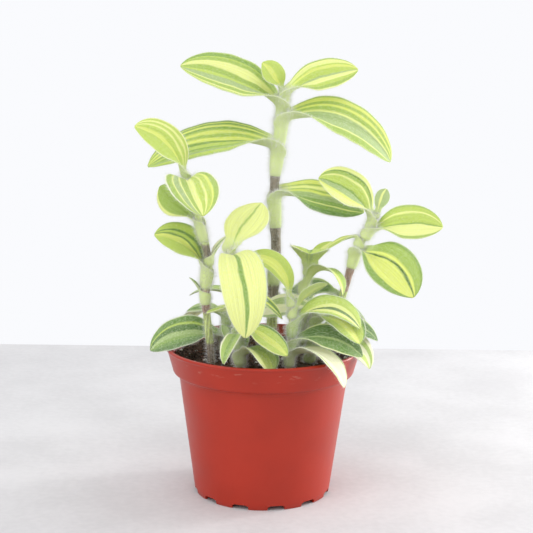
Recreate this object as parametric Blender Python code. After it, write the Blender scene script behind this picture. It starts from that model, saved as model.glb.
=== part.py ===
"""A striped, velvety tradescantia in a terracotta-red nursery pot.

Units are metres and degrees, +Z is up and the plant's front faces -Y. Every piece is placed from the
pot's own axis, with z = 0 at the surface that the pot stands on, and at the end the whole plant is
moved so that the middle of its footprint lies over the origin.
"""

import math
from dataclasses import dataclass

import bmesh
import bpy
import numpy as np

# The pot: outside radii and heights of its turned profile
POT_HEIGHT = 0.080
RIM_RADIUS = 0.0525
BAND_FOOT = 0.0672
BAND_RADIUS = 0.0487
WALL_TOP = 0.0638
WALL_TOP_RADIUS = 0.0452
FOOT_RADIUS = 0.0365
WALL = 0.0012
FLOOR_UNDERSIDE = 0.0032
FLOOR = 0.0014
FOOT_WIDTH = 0.0016
POT_SIDES = 48
NOTCHES = 12
NOTCH_WIDTH = 0.0090
NOTCH_HEIGHT = 0.0025
NOTCH_START = 12.0
DRAINS = 6
DRAIN_RADIUS = 0.0019
DRAIN_CIRCLE = 0.0240
DRAIN_SIDES = 12

# The soil that fills it
GAP = 0.0003
SOIL_LEVEL = 0.0735
SOIL_RELIEF = 0.0012
SOIL_RINGS = 6
SOIL_SIDES = 30
HOLE_SIDES = 10
HOLE_RISE = 0.006

# Stems
STEM_SIDES = 7
STEM_STEP = 0.016
STEM_TOP = 0.001
NODE_SWELL = 1.16
NODE_HALF = 0.0012
NODE_CLEAR = 0.004
STEM_BROWN = (0.36, 0.28, 0.24)
STEM_GREEN = (0.60, 0.72, 0.36)
STEM_PALE = (0.70, 0.78, 0.42)

# Leaves: a sheath wrapped round the stem, which bends out of it and unrolls into the blade
LEAF_THICKNESS = 0.0007
WRAP = math.radians(150)
BEND = 0.008
BEND_SHARE = 0.35
BEND_LAG = 1.5
BEND_ROWS = (0.0, 0.55, 1.0)
UNROLL = 0.8
BASE_FOLD = 0.9
BANK_REACH = 0.35
TIP_HALF = 0.0007
LEAF_FACETS = 6
LONG_SHEATH = 0.009
SHORT_BLADE = 0.0245
LONG_BLADE = 0.0385
FINE = 24
LEAF_GREEN = (0.30, 0.46, 0.12)
LEAF_DARK = (0.10, 0.22, 0.07)
LEAF_LIME = (0.55, 0.68, 0.16)
LEAF_YELLOW = (0.80, 0.80, 0.36)
LEAF_CREAM = (0.84, 0.83, 0.58)

# The middle of the whole plant's footprint, measured from the pot's axis
FOOTPRINT = (0.0134, -0.0042)


@dataclass(frozen=True)
class Stem:
    """One stem: the points that it grows through from the soil up, and its radii."""

    name: str
    path: tuple
    foot_radius: float
    top_radius: float
    colour: tuple = STEM_BROWN


@dataclass(frozen=True)
class Leaf:
    """One leaf: a sheath round its stem, and the blade that opens from it.

    node and sheath are the height of its foot and the length of its sheath. turn is the way that it
    points, 0 along +X and 90 along +Y, and sweep how far that turns along the blade. rise and fall are
    its slope at the blade's base and tip, bank its roll to one side, fold the V of its two halves, and
    curl how far each half then curves. broad is where the blade is widest, neck its width at the base
    as a share of that, blunt how soon it narrows to the tip, and flare how far the sheath opens.
    """

    name: str
    stem: str
    node: float
    sheath: float
    turn: float
    length: float
    width: float
    rise: float
    fall: float
    sweep: float = 0.0
    bank: float = 0.0
    fold: float = 18.0
    curl: float = -20.0
    broad: float = 0.45
    neck: float = 0.50
    blunt: float = 0.70
    flare: float = 0.0004
    colour: tuple = LEAF_GREEN


STEMS = (
    Stem("stem_tall", ((0.0040, 0.004, 0.056), (0.0045, 0.004, 0.104), (0.0060, 0.004, 0.130),
                       (0.0045, 0.004, 0.160), (0.0060, 0.004, 0.180), (0.0080, 0.004, 0.200),
                       (0.0090, 0.004, 0.2125)), 0.0028, 0.0015),
    Stem("stem_left", ((-0.0255, -0.018, 0.056), (-0.0280, -0.018, 0.084), (-0.0305, -0.018, 0.110),
                       (-0.0292, -0.018, 0.128), (-0.0325, -0.018, 0.144), (-0.0375, -0.018, 0.160),
                       (-0.0405, -0.018, 0.172)), 0.0020, 0.0015),
    Stem("stem_right", ((0.0285, 0.002, 0.056), (0.0370, -0.004, 0.092), (0.0425, -0.007, 0.113),
                        (0.0480, -0.008, 0.133), (0.0535, -0.008, 0.143), (0.0570, -0.008, 0.1515)),
         0.0021, 0.0016),
    Stem("stem_front", ((0.0125, -0.028, 0.056), (0.0135, -0.028, 0.084), (0.0145, -0.028, 0.096),
                        (0.0138, -0.028, 0.110)), 0.0017, 0.0013, STEM_PALE),
    Stem("stem_yellow", ((-0.0100, -0.030, 0.056), (-0.0135, -0.031, 0.095), (-0.0155, -0.031, 0.116),
                         (-0.0176, -0.030, 0.136)), 0.0018, 0.0014, STEM_PALE),
    Stem("stem_side", ((0.0160, 0.002, 0.056), (0.0180, -0.002, 0.088), (0.0205, -0.005, 0.111),
                       (0.0240, -0.006, 0.125)), 0.0016, 0.0012, STEM_GREEN),
    Stem("stem_low_left", ((-0.0190, 0.000, 0.056), (-0.0205, -0.002, 0.080), (-0.0195, -0.002, 0.097)),
         0.0017, 0.0013, STEM_GREEN),
    Stem("stem_low_right", ((0.0225, -0.014, 0.056), (0.0245, -0.015, 0.080), (0.0275, -0.015, 0.098)),
         0.0017, 0.0013, STEM_GREEN),
    Stem("stem_back_left", ((-0.0120, 0.022, 0.056), (-0.0125, 0.024, 0.080), (-0.0110, 0.025, 0.100)),
         0.0018, 0.0013, STEM_GREEN),
    Stem("stem_back_right", ((0.0200, 0.020, 0.056), (0.0215, 0.022, 0.080), (0.0230, 0.023, 0.095)),
         0.0018, 0.0013, STEM_GREEN),
)

LEAVES = (
    # Tall stem, from the top down
    Leaf("leaf_tall_1", "stem_tall", 0.1970, 0.0055, 187, 0.0515, 0.0255, 38, 2, 0, -50, neck=0.72,
         flare=0.0016),
    Leaf("leaf_tall_2", "stem_tall", 0.2070, 0.0025, 5, 0.0345, 0.0200, 30, 5, 0, 52, neck=0.62,
         flare=0.0014),
    Leaf("leaf_tall_3", "stem_tall", 0.2110, 0.0010, 187, 0.0150, 0.0145, 68, 40, 0, -58, flare=0.0002,
         colour=LEAF_LIME),
    Leaf("leaf_tall_4", "stem_tall", 0.1825, 0.0130, 0, 0.0585, 0.0305, 10, -58, 2, 37, neck=0.62,
         flare=0.0016),
    Leaf("leaf_tall_5", "stem_tall", 0.1705, 0.0095, 180, 0.0645, 0.0250, 14, -36, 0, -40, neck=0.82,
         flare=0.0014),
    Leaf("leaf_tall_6", "stem_tall", 0.1430, 0.0120, 0, 0.0415, 0.0225, -4, -20, 0, 44, neck=0.75),
    Leaf("leaf_tall_7", "stem_tall", 0.1125, 0.0090, 205, 0.019, 0.0165, -40, -85, 0, -8, colour=LEAF_DARK),
    # Left stem
    Leaf("leaf_left_1", "stem_left", 0.1680, 0.0010, 193, 0.033, 0.02, 77, 8, -4, -56, flare=0.0002),
    Leaf("leaf_left_2", "stem_left", 0.1615, 0.0030, -85, 0.045, 0.027, 8, -40, 18, -14, flare=0.0012),
    Leaf("leaf_left_3", "stem_left", 0.1385, 0.0070, 162, 0.022, 0.019, 45, 37, 0, -56),
    Leaf("leaf_left_4", "stem_left", 0.1140, 0.0060, 180, 0.0285, 0.0215, 66, -6, 0, -40, flare=0.0016),
    Leaf("leaf_left_5", "stem_left", 0.1262, 0.0020, 12, 0.0115, 0.010, 60, 45, colour=LEAF_CREAM),
    Leaf("leaf_left_6", "stem_left", 0.1055, 0.0050, 180, 0.008, 0.006, 62, 40, colour=LEAF_LIME),
    # Low shoot on the left
    Leaf("leaf_low_left_1", "stem_low_left", 0.0755, 0.0030, 188, 0.0355, 0.028, 17, -40, 0, -20,
         flare=0.0014),
    Leaf("leaf_low_left_2", "stem_low_left", 0.0905, 0.0015, 174, 0.017, 0.0145, 24, -20, 0, -8,
         flare=0.0014),
    Leaf("leaf_low_left_3", "stem_low_left", 0.0950, 0.0010, -20, 0.010, 0.012, 82, 75),
    Leaf("leaf_low_left_4", "stem_low_left", 0.0837, 0.0010, -72, 0.022, 0.0150, 14, -66, flare=0.0016,
         colour=LEAF_DARK),
    # Yellow shoot
    Leaf("leaf_yellow_1", "stem_yellow", 0.1250, 0.0030, -77, 0.0565, 0.0228, 12, -108, 0, 6, 12,
         flare=0.0014, colour=LEAF_YELLOW),
    Leaf("leaf_yellow_2", "stem_yellow", 0.1310, 0.0020, 49, 0.0265, 0.023, 51, 32, 0, 16, 8,
         colour=LEAF_YELLOW),
    Leaf("leaf_yellow_3", "stem_yellow", 0.1000, 0.0030, 205, 0.011, 0.012, 5, -10, 0, 10,
         flare=0.0014, colour=LEAF_LIME),
    Leaf("leaf_yellow_4", "stem_yellow", 0.1055, 0.0030, 8, 0.0225, 0.0155, -20, -50, 0, 15),
    Leaf("leaf_yellow_5", "stem_yellow", 0.0897, 0.0020, -30, 0.0255, 0.0150, -16, -36, 0, 14),
    Leaf("leaf_yellow_6", "stem_yellow", 0.0760, 0.0020, -40, 0.0200, 0.0215, 24, -80, 0, -12,
         flare=0.0014, colour=LEAF_LIME),
    Leaf("leaf_yellow_7", "stem_yellow", 0.0848, 0.0010, -86, 0.028, 0.0135, 36, -82, -55, 20, flare=0.0014),
    # Front stem
    Leaf("leaf_front_1", "stem_front", 0.1070, 0.0010, 167, 0.030, 0.0110, 92, -18, 0, -62,
         colour=LEAF_LIME),
    Leaf("leaf_front_2", "stem_front", 0.1008, 0.0010, 10, 0.018, 0.0105, 56, 14, 0, -42, flare=0.0010,
         colour=LEAF_LIME),
    Leaf("leaf_front_3", "stem_front", 0.0905, 0.0040, -10, 0.035, 0.0165, 47, -64, 0, 27, flare=0.0014),
    Leaf("leaf_front_4", "stem_front", 0.0755, 0.0015, -34, 0.034, 0.019, 20, -74, 0, -8, colour=LEAF_CREAM),
    Leaf("leaf_front_5", "stem_front", 0.0828, 0.0015, -6, 0.033, 0.017, 14, -44, 0, 36, flare=0.0012,
         colour=LEAF_DARK),
    # Right stem
    Leaf("leaf_right_1", "stem_right", 0.1442, 0.0010, 182, 0.0315, 0.0245, 62, 6, 0, -46, flare=0.0004),
    Leaf("leaf_right_2", "stem_right", 0.1396, 0.0012, -5, 0.0325, 0.0205, 21, -15, 0, 60, flare=0.0014),
    Leaf("leaf_right_3", "stem_right", 0.1240, 0.0040, -40, 0.0365, 0.028, -8, -56, 0, 44),
    Leaf("leaf_right_4", "stem_right", 0.1349, 0.0007, 173, 0.0160, 0.0066, -18, -40, 0, -20, flare=0.0010),
    Leaf("leaf_right_5", "stem_right", 0.1512, 0.0002, 58, 0.0125, 0.008, 64, 35, 0, 24, flare=0.0,
         colour=LEAF_LIME),
    Leaf("leaf_right_6", "stem_right", 0.0945, 0.0075, 147, 0.0320, 0.0155, 12, -42, 0, -40,
         colour=LEAF_DARK),
    # Side shoot
    Leaf("leaf_side_1", "stem_side", 0.1190, 0.0010, -95, 0.02, 0.021, 68, -20, 6, 0, flare=0.0012),
    Leaf("leaf_side_2", "stem_side", 0.1231, 0.0005, 30, 0.0135, 0.011, 56, 25, 0, 0, flare=0.0002),
    Leaf("leaf_side_3", "stem_side", 0.1085, 0.0030, -38, 0.029, 0.0145, 58, -96, 0, -16, flare=0.0014),
    # Low shoot on the right
    Leaf("leaf_low_right_1", "stem_low_right", 0.0910, 0.0015, -46, 0.028, 0.02, 22, -62, 4, 16,
         flare=0.0014, colour=LEAF_LIME),
    Leaf("leaf_low_right_2", "stem_low_right", 0.0822, 0.0015, 8, 0.032, 0.0150, 32, -50, 0, 30,
         flare=0.0012, colour=LEAF_DARK),
    Leaf("leaf_low_right_3", "stem_low_right", 0.0745, 0.0010, -4, 0.034, 0.0170, 40, -84, 0, 36,
         flare=0.0016, colour=LEAF_CREAM),
    Leaf("leaf_low_right_4", "stem_low_right", 0.0960, 0.0008, 168, 0.027, 0.0165, 8, -28, 0, -38,
         colour=LEAF_CREAM),
    # Back shoots
    Leaf("leaf_back_left_1", "stem_back_left", 0.0755, 0.0030, 140, 0.040, 0.022, 32, -50, flare=0.0014),
    Leaf("leaf_back_left_2", "stem_back_left", 0.0835, 0.0030, 65, 0.036, 0.020, 35, -35, flare=0.0014),
    Leaf("leaf_back_left_3", "stem_back_left", 0.0915, 0.0020, 172, 0.026, 0.016, 30, -30, flare=0.0014),
    Leaf("leaf_back_right_1", "stem_back_right", 0.0755, 0.0030, 45, 0.038, 0.022, 32, -55, flare=0.0014),
    Leaf("leaf_back_right_2", "stem_back_right", 0.0835, 0.0030, 100, 0.032, 0.018, 40, -25, flare=0.0014),
    Leaf("leaf_back_right_3", "stem_back_right", 0.0910, 0.0020, -5, 0.030, 0.018, 10, -50),
)


def smoothstep(x):
    """Eases from 0 to 1."""
    x = np.clip(x, 0.0, 1.0)
    return x * x * (3.0 - 2.0 * x)


def unit(v):
    """The vectors at length one."""
    return v / np.linalg.norm(v, axis=-1, keepdims=True)


def turned_about(v, axis, angle):
    """The vector turned about a unit axis."""
    level = axis * np.dot(axis, v)
    return level + (v - level) * math.cos(angle) + np.cross(axis, v) * math.sin(angle)


def smooth_path(points, per_span=12):
    """A Catmull-Rom curve through the points."""
    p = np.array(points, float)
    p = np.vstack([2 * p[0] - p[1], p, 2 * p[-1] - p[-2]])
    curve = []
    for a, b, c, d in zip(p[:-3], p[1:-2], p[2:-1], p[3:]):
        for t in np.linspace(0.0, 1.0, per_span, endpoint=False):
            curve.append(0.5 * (2 * b + (c - a) * t + (2 * a - 5 * b + 4 * c - d) * t * t
                                + (3 * b - a - 3 * c + d) * t ** 3))
    curve.append(p[-2])
    return np.array(curve)


class Grown:
    """A stem's smooth centre line, read by height."""

    def __init__(self, stem):
        self.stem = stem
        self.line = smooth_path(stem.path)
        self.low = self.line[0, 2]
        self.high = self.line[-1, 2]

    def centre(self, z):
        """The centre line's point at a height."""
        return np.array([np.interp(z, self.line[:, 2], self.line[:, i]) for i in range(3)])

    def along(self, z):
        """The direction of growth at a height."""
        reach = 0.003
        low, high = max(z - reach, self.low), min(z + reach, self.high)
        return unit(self.centre(high) - self.centre(low))

    def radius(self, z):
        """The stem's radius at a height, without its swellings."""
        share = (z - self.low) / (self.high - self.low)
        return self.stem.foot_radius + (self.stem.top_radius - self.stem.foot_radius) * share ** 3


def blade_half(leaf, t):
    """Half the blade's width, laid flat, at a share of its length."""
    low = 1.0 - (1.0 - leaf.neck) * ((leaf.broad - t) / leaf.broad) ** 2
    high = np.clip(1.0 - np.clip((t - leaf.broad) / (1.0 - leaf.broad), 0, 1) ** 2.2, 0, 1) ** leaf.blunt
    return np.maximum(0.5 * leaf.width * np.where(t < leaf.broad, low, high), TIP_HALF)


def leaf_spine(leaf, grown, facets):
    """Points, directions, normals and section values along a leaf, sheath included."""
    top = leaf.node + leaf.sheath
    tangent = grown.along(top)
    heading = math.radians(leaf.turn)
    out = np.array([math.cos(heading), math.sin(heading), 0.0])
    out = unit(out - tangent * np.dot(out, tangent))
    clear = grown.radius(leaf.node) + GAP + 0.5 * LEAF_THICKNESS
    foot = clear / math.cos(WRAP / facets)
    hug = foot + leaf.flare

    bend = min(BEND, BEND_SHARE * leaf.length)
    steps = np.concatenate([np.linspace(0, bend, FINE), bend + np.linspace(0, leaf.length, 3 * FINE)[1:]])
    t = np.clip((steps - bend) / leaf.length, 0, 1)
    pitch = np.radians(leaf.rise + (leaf.fall - leaf.rise) * t)
    yaw = np.radians(leaf.turn + leaf.sweep * t)
    blade = np.stack([np.cos(pitch) * np.cos(yaw), np.cos(pitch) * np.sin(yaw), np.sin(pitch)], axis=1)
    bent = smoothstep(steps / bend)[:, None] ** BEND_LAG
    along = unit(tangent * (1 - bent) + blade * bent)
    points = [grown.centre(top) + out * hug]
    for i in range(1, len(steps)):
        points.append(points[-1] + 0.5 * (along[i] + along[i - 1]) * (steps[i] - steps[i - 1]))
    normal = [-out]
    for i in range(1, len(steps)):
        n = normal[-1] - along[i] * np.dot(normal[-1], along[i])
        normal.append(unit(n))
    bank = np.radians(leaf.bank) * smoothstep(steps / (bend + BANK_REACH * leaf.length))
    normal = np.array([turned_about(n, a, b) for n, a, b in zip(normal, along, bank)])
    opened = smoothstep(steps / (UNROLL * bend))
    fold = np.radians(leaf.fold) * (1 + BASE_FOLD * (1 - t) ** 2) * opened
    curl = WRAP * (1 - opened) + np.radians(leaf.curl) * opened * smoothstep(0.3 + 1.4 * t)
    half = WRAP * hug * (1 - opened) + blade_half(leaf, t) * opened
    return foot, out, steps, bend, np.array(points), along, normal, fold, curl, half


def section(half, fold, curl, share):
    """Across and up, for shares from -1 to 1 of a half width: a fold at the midrib, then an even curve."""
    side = np.sign(share)
    s = np.abs(share)
    turn = np.where(np.abs(curl) < 1e-4, 1e-4, curl)
    across = half / turn * (np.sin(fold + turn * s) - np.sin(fold))
    up = half / turn * (np.cos(fold) - np.cos(fold + turn * s))
    return side * across, up


def leaf_grid(leaf, grown, along_count, across_count):
    """The leaf's middle surface as a grid of points, from the foot of the sheath to the tip."""
    foot, out, steps, bend, points, along, normal, fold, curl, half = leaf_spine(leaf, grown, across_count)
    shares = np.linspace(-1, 1, across_count + 1)
    rows = []
    sheath_rows = 1 if leaf.sheath < LONG_SHEATH else 2
    for share in np.linspace(0, 1, sheath_rows + 1)[:-1]:
        z = leaf.node + leaf.sheath * share
        hug = foot + leaf.flare * share
        tangent = grown.along(z)
        u = unit(out - tangent * np.dot(out, tangent))
        across, up = section(WRAP * hug, 0.0, WRAP, shares)
        rows.append(grown.centre(z) + u * hug + np.outer(across, np.cross(tangent, -u)) + np.outer(up, -u))
    blade_rows = np.linspace(0, 1, along_count + 1)[1:] ** 0.9
    stations = np.concatenate([np.array(BEND_ROWS) * bend, bend + leaf.length * blade_rows])
    for s in stations:
        p = np.array([np.interp(s, steps, points[:, i]) for i in range(3)])
        a = unit(np.array([np.interp(s, steps, along[:, i]) for i in range(3)]))
        n = np.array([np.interp(s, steps, normal[:, i]) for i in range(3)])
        n = unit(n - a * np.dot(n, a))
        f, c, h = (np.interp(s, steps, v) for v in (fold, curl, half))
        across, up = section(h, f, c, shares)
        rows.append(p + np.outer(across, np.cross(a, n)) + np.outer(up, n))
    return np.array(rows)


def blade_rows_of(leaf):
    """Rows along the blade: fewer on a short leaf."""
    if leaf.length < SHORT_BLADE:
        return 4
    return 5 if leaf.length < LONG_BLADE else 6


def thick_sheet(grid, thickness):
    """Vertices and faces of a closed sheet, split into the same triangles on both of its faces."""
    du = np.gradient(grid, axis=0)
    dv = np.gradient(grid, axis=1)
    n = unit(np.cross(du, dv))
    rows, cols = grid.shape[:2]
    points = np.vstack([(grid + n * thickness / 2).reshape(-1, 3), (grid - n * thickness / 2).reshape(-1, 3)])
    under = rows * cols
    faces = []
    for i in range(rows - 1):
        for j in range(cols - 1):
            a, b = i * cols + j, i * cols + j + 1
            c, d = a + cols, b + cols
            if j < (cols - 1) // 2:
                tris = ((a, c, b), (b, c, d))
            else:
                tris = ((a, c, d), (a, d, b))
            faces += list(tris)
            faces += [tuple(v + under for v in reversed(t)) for t in tris]
    rim = list(range(cols))
    rim += [i * cols + cols - 1 for i in range(1, rows)]
    rim += [(rows - 1) * cols + j for j in range(cols - 2, -1, -1)]
    rim += [i * cols for i in range(rows - 2, 0, -1)]
    for a, b in zip(rim, rim[1:] + rim[:1]):
        faces += [(a, b, b + under), (a, b + under, a + under)]
    return points, faces


def colour_material(name, colour, roughness):
    """A plain Principled material."""
    material = bpy.data.materials.new(name)
    material.use_nodes = True
    shader = material.node_tree.nodes["Principled BSDF"]
    shader.inputs["Base Color"].default_value = (*colour, 1.0)
    shader.inputs["Roughness"].default_value = roughness
    shader.inputs["Metallic"].default_value = 0.0
    material.diffuse_color = (*colour, 1.0)
    return material


def add_object(name, points, faces, material):
    """A new object with a mesh whose faces point outwards."""
    mesh = bpy.data.meshes.new(name)
    mesh.from_pydata([tuple(p) for p in points], [], faces)
    made = bmesh.new()
    made.from_mesh(mesh)
    bmesh.ops.recalc_face_normals(made, faces=made.faces)
    made.to_mesh(mesh)
    made.free()
    mesh.materials.append(material)
    mesh.shade_smooth()
    obj = bpy.data.objects.new(name, mesh)
    bpy.context.scene.collection.objects.link(obj)
    return obj


def ring_surface(rings, closed_ends=True):
    """Faces that join rings of equal size, with a fan at each end."""
    count = len(rings)
    sides = len(rings[0])
    points = [p for ring in rings for p in ring]
    faces = []
    for i in range(count - 1):
        for j in range(sides):
            k = (j + 1) % sides
            faces.append((i * sides + j, i * sides + k, (i + 1) * sides + k, (i + 1) * sides + j))
    if closed_ends:
        for base, order in ((0, -1), ((count - 1) * sides, 1)):
            centre = len(points)
            points.append(np.mean(points[base:base + sides], axis=0))
            for j in range(sides):
                pair = (base + j, base + (j + 1) % sides)
                faces.append((*pair[::order], centre))
    return points, faces


def circle(centre, along, radius, sides, start=0.0):
    """A ring of points round a centre, square to a direction."""
    across = unit(np.cross(along, (0.0, 1.0, 0.001)))
    other = np.cross(along, across)
    angles = start + 2 * np.pi * np.arange(sides) / sides
    return [centre + radius * (math.cos(a) * across + math.sin(a) * other) for a in angles]


def make_stem(stem, grown, nodes):
    """One stem, swollen a little at each node and rounded off at its top."""
    heights = list(np.arange(grown.low, grown.high, STEM_STEP)) + [grown.high]
    heights = [h for h in heights if all(abs(h - n + NODE_HALF) > NODE_CLEAR for n in nodes)]
    swollen = {}
    for n in nodes:
        for offset, swell in ((-2 * NODE_HALF, 1.0), (-NODE_HALF, NODE_SWELL), (0.0, 1.0)):
            if grown.low + NODE_CLEAR < n + offset < grown.high:
                swollen[n + offset] = swell
    heights = sorted(set(heights) | set(swollen) | {grown.low, grown.high})
    rings = []
    for h in heights:
        radius = grown.radius(h) * swollen.get(h, 1.0)
        rings.append(circle(grown.centre(h), grown.along(h), radius, STEM_SIDES))
    top = grown.centre(grown.high) + grown.along(grown.high) * STEM_TOP
    rings.append(circle(top, grown.along(grown.high), 0.6 * grown.radius(grown.high), STEM_SIDES))
    points, faces = ring_surface(rings)
    return add_object(stem.name, points, faces, colour_material(stem.name, stem.colour, 0.6))


def pot_profile():
    """Radius and height round the pot's section, from the floor's underside out and back over the floor."""
    slope = (WALL_TOP_RADIUS - FOOT_RADIUS) / WALL_TOP
    floor_top = FLOOR_UNDERSIDE + FLOOR
    foot_inner = FOOT_RADIUS - FOOT_WIDTH
    outer = [
        (foot_inner, FLOOR_UNDERSIDE),
        (foot_inner - 0.0002, 0.0),
        (FOOT_RADIUS, 0.0),
        (FOOT_RADIUS + slope * 0.0035, 0.0035),
        (WALL_TOP_RADIUS, WALL_TOP),
        (WALL_TOP_RADIUS + 0.0004, WALL_TOP + 0.0012),
        (BAND_RADIUS - 0.0012, BAND_FOOT - 0.0012),
        (BAND_RADIUS - 0.0002, BAND_FOOT - 0.0004),
        (BAND_RADIUS + 0.0001, BAND_FOOT + 0.0006),
        (RIM_RADIUS - 0.0007, POT_HEIGHT - 0.0016),
        (RIM_RADIUS, POT_HEIGHT - 0.0009),
        (RIM_RADIUS - 0.0002, POT_HEIGHT - 0.0002),
        (RIM_RADIUS - 0.0007, POT_HEIGHT),
        (RIM_RADIUS - WALL - 0.0005, POT_HEIGHT),
    ]
    inner = [
        (BAND_RADIUS - WALL, BAND_FOOT - 0.0006),
        (WALL_TOP_RADIUS - WALL + 0.0002, WALL_TOP - 0.0008),
        (FOOT_RADIUS + slope * floor_top - WALL, floor_top),
    ]
    return outer + inner


def make_pot():
    """The pot: a turned wall and floor, notched round the foot and drilled for water."""
    angles = 2 * np.pi * np.arange(POT_SIDES) / POT_SIDES
    rings = [[np.array([r * math.cos(a), r * math.sin(a), z]) for a in angles] for r, z in pot_profile()]
    points, faces = ring_surface(rings)
    pot = add_object("pot", points, faces, colour_material("pot", (0.50, 0.09, 0.05), 0.42))
    cutters = []
    for i in range(NOTCHES):
        cutters.append(notch_cutter(math.radians(NOTCH_START + i * 360.0 / NOTCHES)))
    for i in range(DRAINS):
        cutters.append(drain_cutter(2 * math.pi * i / DRAINS))
    for cutter in cutters:
        cut(pot, cutter)
    return pot


def notch_cutter(angle):
    """A box across the foot ring."""
    mesh = bpy.data.meshes.new("notch")
    box = bmesh.new()
    bmesh.ops.create_cube(box, size=1.0)
    for v in box.verts:
        x = FOOT_RADIUS + v.co.x * 0.006
        y = v.co.y * NOTCH_WIDTH
        z = (v.co.z + 0.5) * (NOTCH_HEIGHT + 0.002) - 0.002
        v.co = (x * math.cos(angle) - y * math.sin(angle), x * math.sin(angle) + y * math.cos(angle), z)
    box.to_mesh(mesh)
    box.free()
    return cutter_object(mesh)


def drain_cutter(angle):
    """A pin through the floor."""
    mesh = bpy.data.meshes.new("drain")
    pin = bmesh.new()
    bmesh.ops.create_cone(pin, cap_ends=True, segments=DRAIN_SIDES, radius1=DRAIN_RADIUS,
                          radius2=DRAIN_RADIUS, depth=2 * FLOOR_UNDERSIDE)
    x, y = DRAIN_CIRCLE * math.cos(angle), DRAIN_CIRCLE * math.sin(angle)
    bmesh.ops.translate(pin, verts=pin.verts, vec=(x, y, FLOOR_UNDERSIDE))
    pin.to_mesh(mesh)
    pin.free()
    return cutter_object(mesh)


def cutter_object(mesh):
    """A hidden object that only cuts."""
    obj = bpy.data.objects.new(mesh.name, mesh)
    bpy.context.scene.collection.objects.link(obj)
    obj.hide_render = True
    obj.display_type = "WIRE"
    return obj


def cut(target, cutter):
    """Takes the cutter's shape out of the target, for good."""
    boolean = target.modifiers.new("cut", "BOOLEAN")
    boolean.operation = "DIFFERENCE"
    boolean.object = cutter
    graph = bpy.context.evaluated_depsgraph_get()
    mesh = bpy.data.meshes.new_from_object(target.evaluated_get(graph))
    target.modifiers.remove(boolean)
    old = target.data
    target.data = mesh
    mesh.name = target.name
    bpy.data.meshes.remove(old)
    bpy.data.objects.remove(cutter)


def soil_height(x, y):
    """The soil's uneven top."""
    waves = math.sin(310 * x + 1.3) * math.cos(270 * y - 0.6) + 0.6 * math.sin(520 * x - 410 * y + 2.1)
    return SOIL_LEVEL + SOIL_RELIEF * 0.6 * waves


def make_soil(grown_stems):
    """The soil: a plug that fills the pot, with a plain hole for each stem."""
    slope = (WALL_TOP_RADIUS - FOOT_RADIUS) / WALL_TOP
    floor = FLOOR_UNDERSIDE + FLOOR + GAP
    band_slope = (RIM_RADIUS - BAND_RADIUS) / (POT_HEIGHT - BAND_FOOT)
    edge = BAND_RADIUS - WALL - 0.0008 + band_slope * (SOIL_LEVEL - BAND_FOOT)
    sides = [
        (FOOT_RADIUS + slope * floor - WALL - GAP - 0.0003, floor),
        (WALL_TOP_RADIUS - WALL - GAP - 0.0003, WALL_TOP - 0.0015),
        (BAND_RADIUS - WALL - GAP - 0.0006, BAND_FOOT),
    ]
    angles = 2 * np.pi * np.arange(SOIL_SIDES) / SOIL_SIDES
    rings = [[np.array([r * math.cos(a), r * math.sin(a), z]) for a in angles] for r, z in sides]
    for share in np.linspace(1.0, 0.10, SOIL_RINGS):
        r = edge * share
        ring = []
        for a in angles:
            x, y = r * math.cos(a), r * math.sin(a)
            ring.append(np.array([x, y, soil_height(x, y)]))
        rings.append(ring)
    points, faces = ring_surface(rings)
    soil = add_object("soil", points, faces, colour_material("soil", (0.06, 0.035, 0.025), 0.95))
    for grown in grown_stems:
        cut(soil, stem_hole(grown))
    return soil


def stem_hole(grown):
    """The plain hole that a stem stands in, from just under its foot to above the soil."""
    across_flats = math.cos(math.pi / HOLE_SIDES)
    high = SOIL_LEVEL + HOLE_RISE
    rings = []
    for z, drop in ((grown.low, GAP), (0.5 * (grown.low + high), 0.0), (high, 0.0)):
        along = grown.along(z)
        radius = (grown.radius(z) + GAP) / across_flats
        rings.append(circle(grown.centre(z) - along * drop, along, radius, HOLE_SIDES))
    points, faces = ring_surface(rings)
    hole = add_object("hole", points, faces, bpy.data.materials["soil"])
    hole.hide_render = True
    hole.display_type = "WIRE"
    return hole


def main():
    """Builds the pot, the soil, the stems and the leaves, and centres them on their footprint."""
    for obj in list(bpy.data.objects):
        bpy.data.objects.remove(obj)
    grown = {stem.name: Grown(stem) for stem in STEMS}
    made = [make_pot(), make_soil(list(grown.values()))]
    for stem in STEMS:
        nodes = [leaf.node for leaf in LEAVES if leaf.stem == stem.name]
        made.append(make_stem(stem, grown[stem.name], nodes))
    for leaf in LEAVES:
        grid = leaf_grid(leaf, grown[leaf.stem], blade_rows_of(leaf), LEAF_FACETS)
        points, faces = thick_sheet(grid, LEAF_THICKNESS)
        made.append(add_object(leaf.name, points, faces, colour_material(leaf.name, leaf.colour, 0.55)))
    middle = bpy.data.objects.new("pot_axis", None)
    middle.location = (-FOOTPRINT[0], -FOOTPRINT[1], 0.0)
    bpy.context.scene.collection.objects.link(middle)
    for obj in made:
        obj.parent = middle


if __name__ == "__main__":
    main()
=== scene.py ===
"""The looks of a potted tradescantia: striped, velvety leaves on hairy stems, in a red nursery pot.

Lengths are metres, and angles degrees unless a name says otherwise. Every piece is worked out from the
pot's own axis and then moved by the middle of the plant's footprint, as the frame's solids are.
"""

import logging
import math
from dataclasses import dataclass
from enum import Enum
from typing import Any

import bmesh
import bpy
import numpy as np
from mathutils import Euler, Matrix, Vector
from numpy.typing import NDArray


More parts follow.
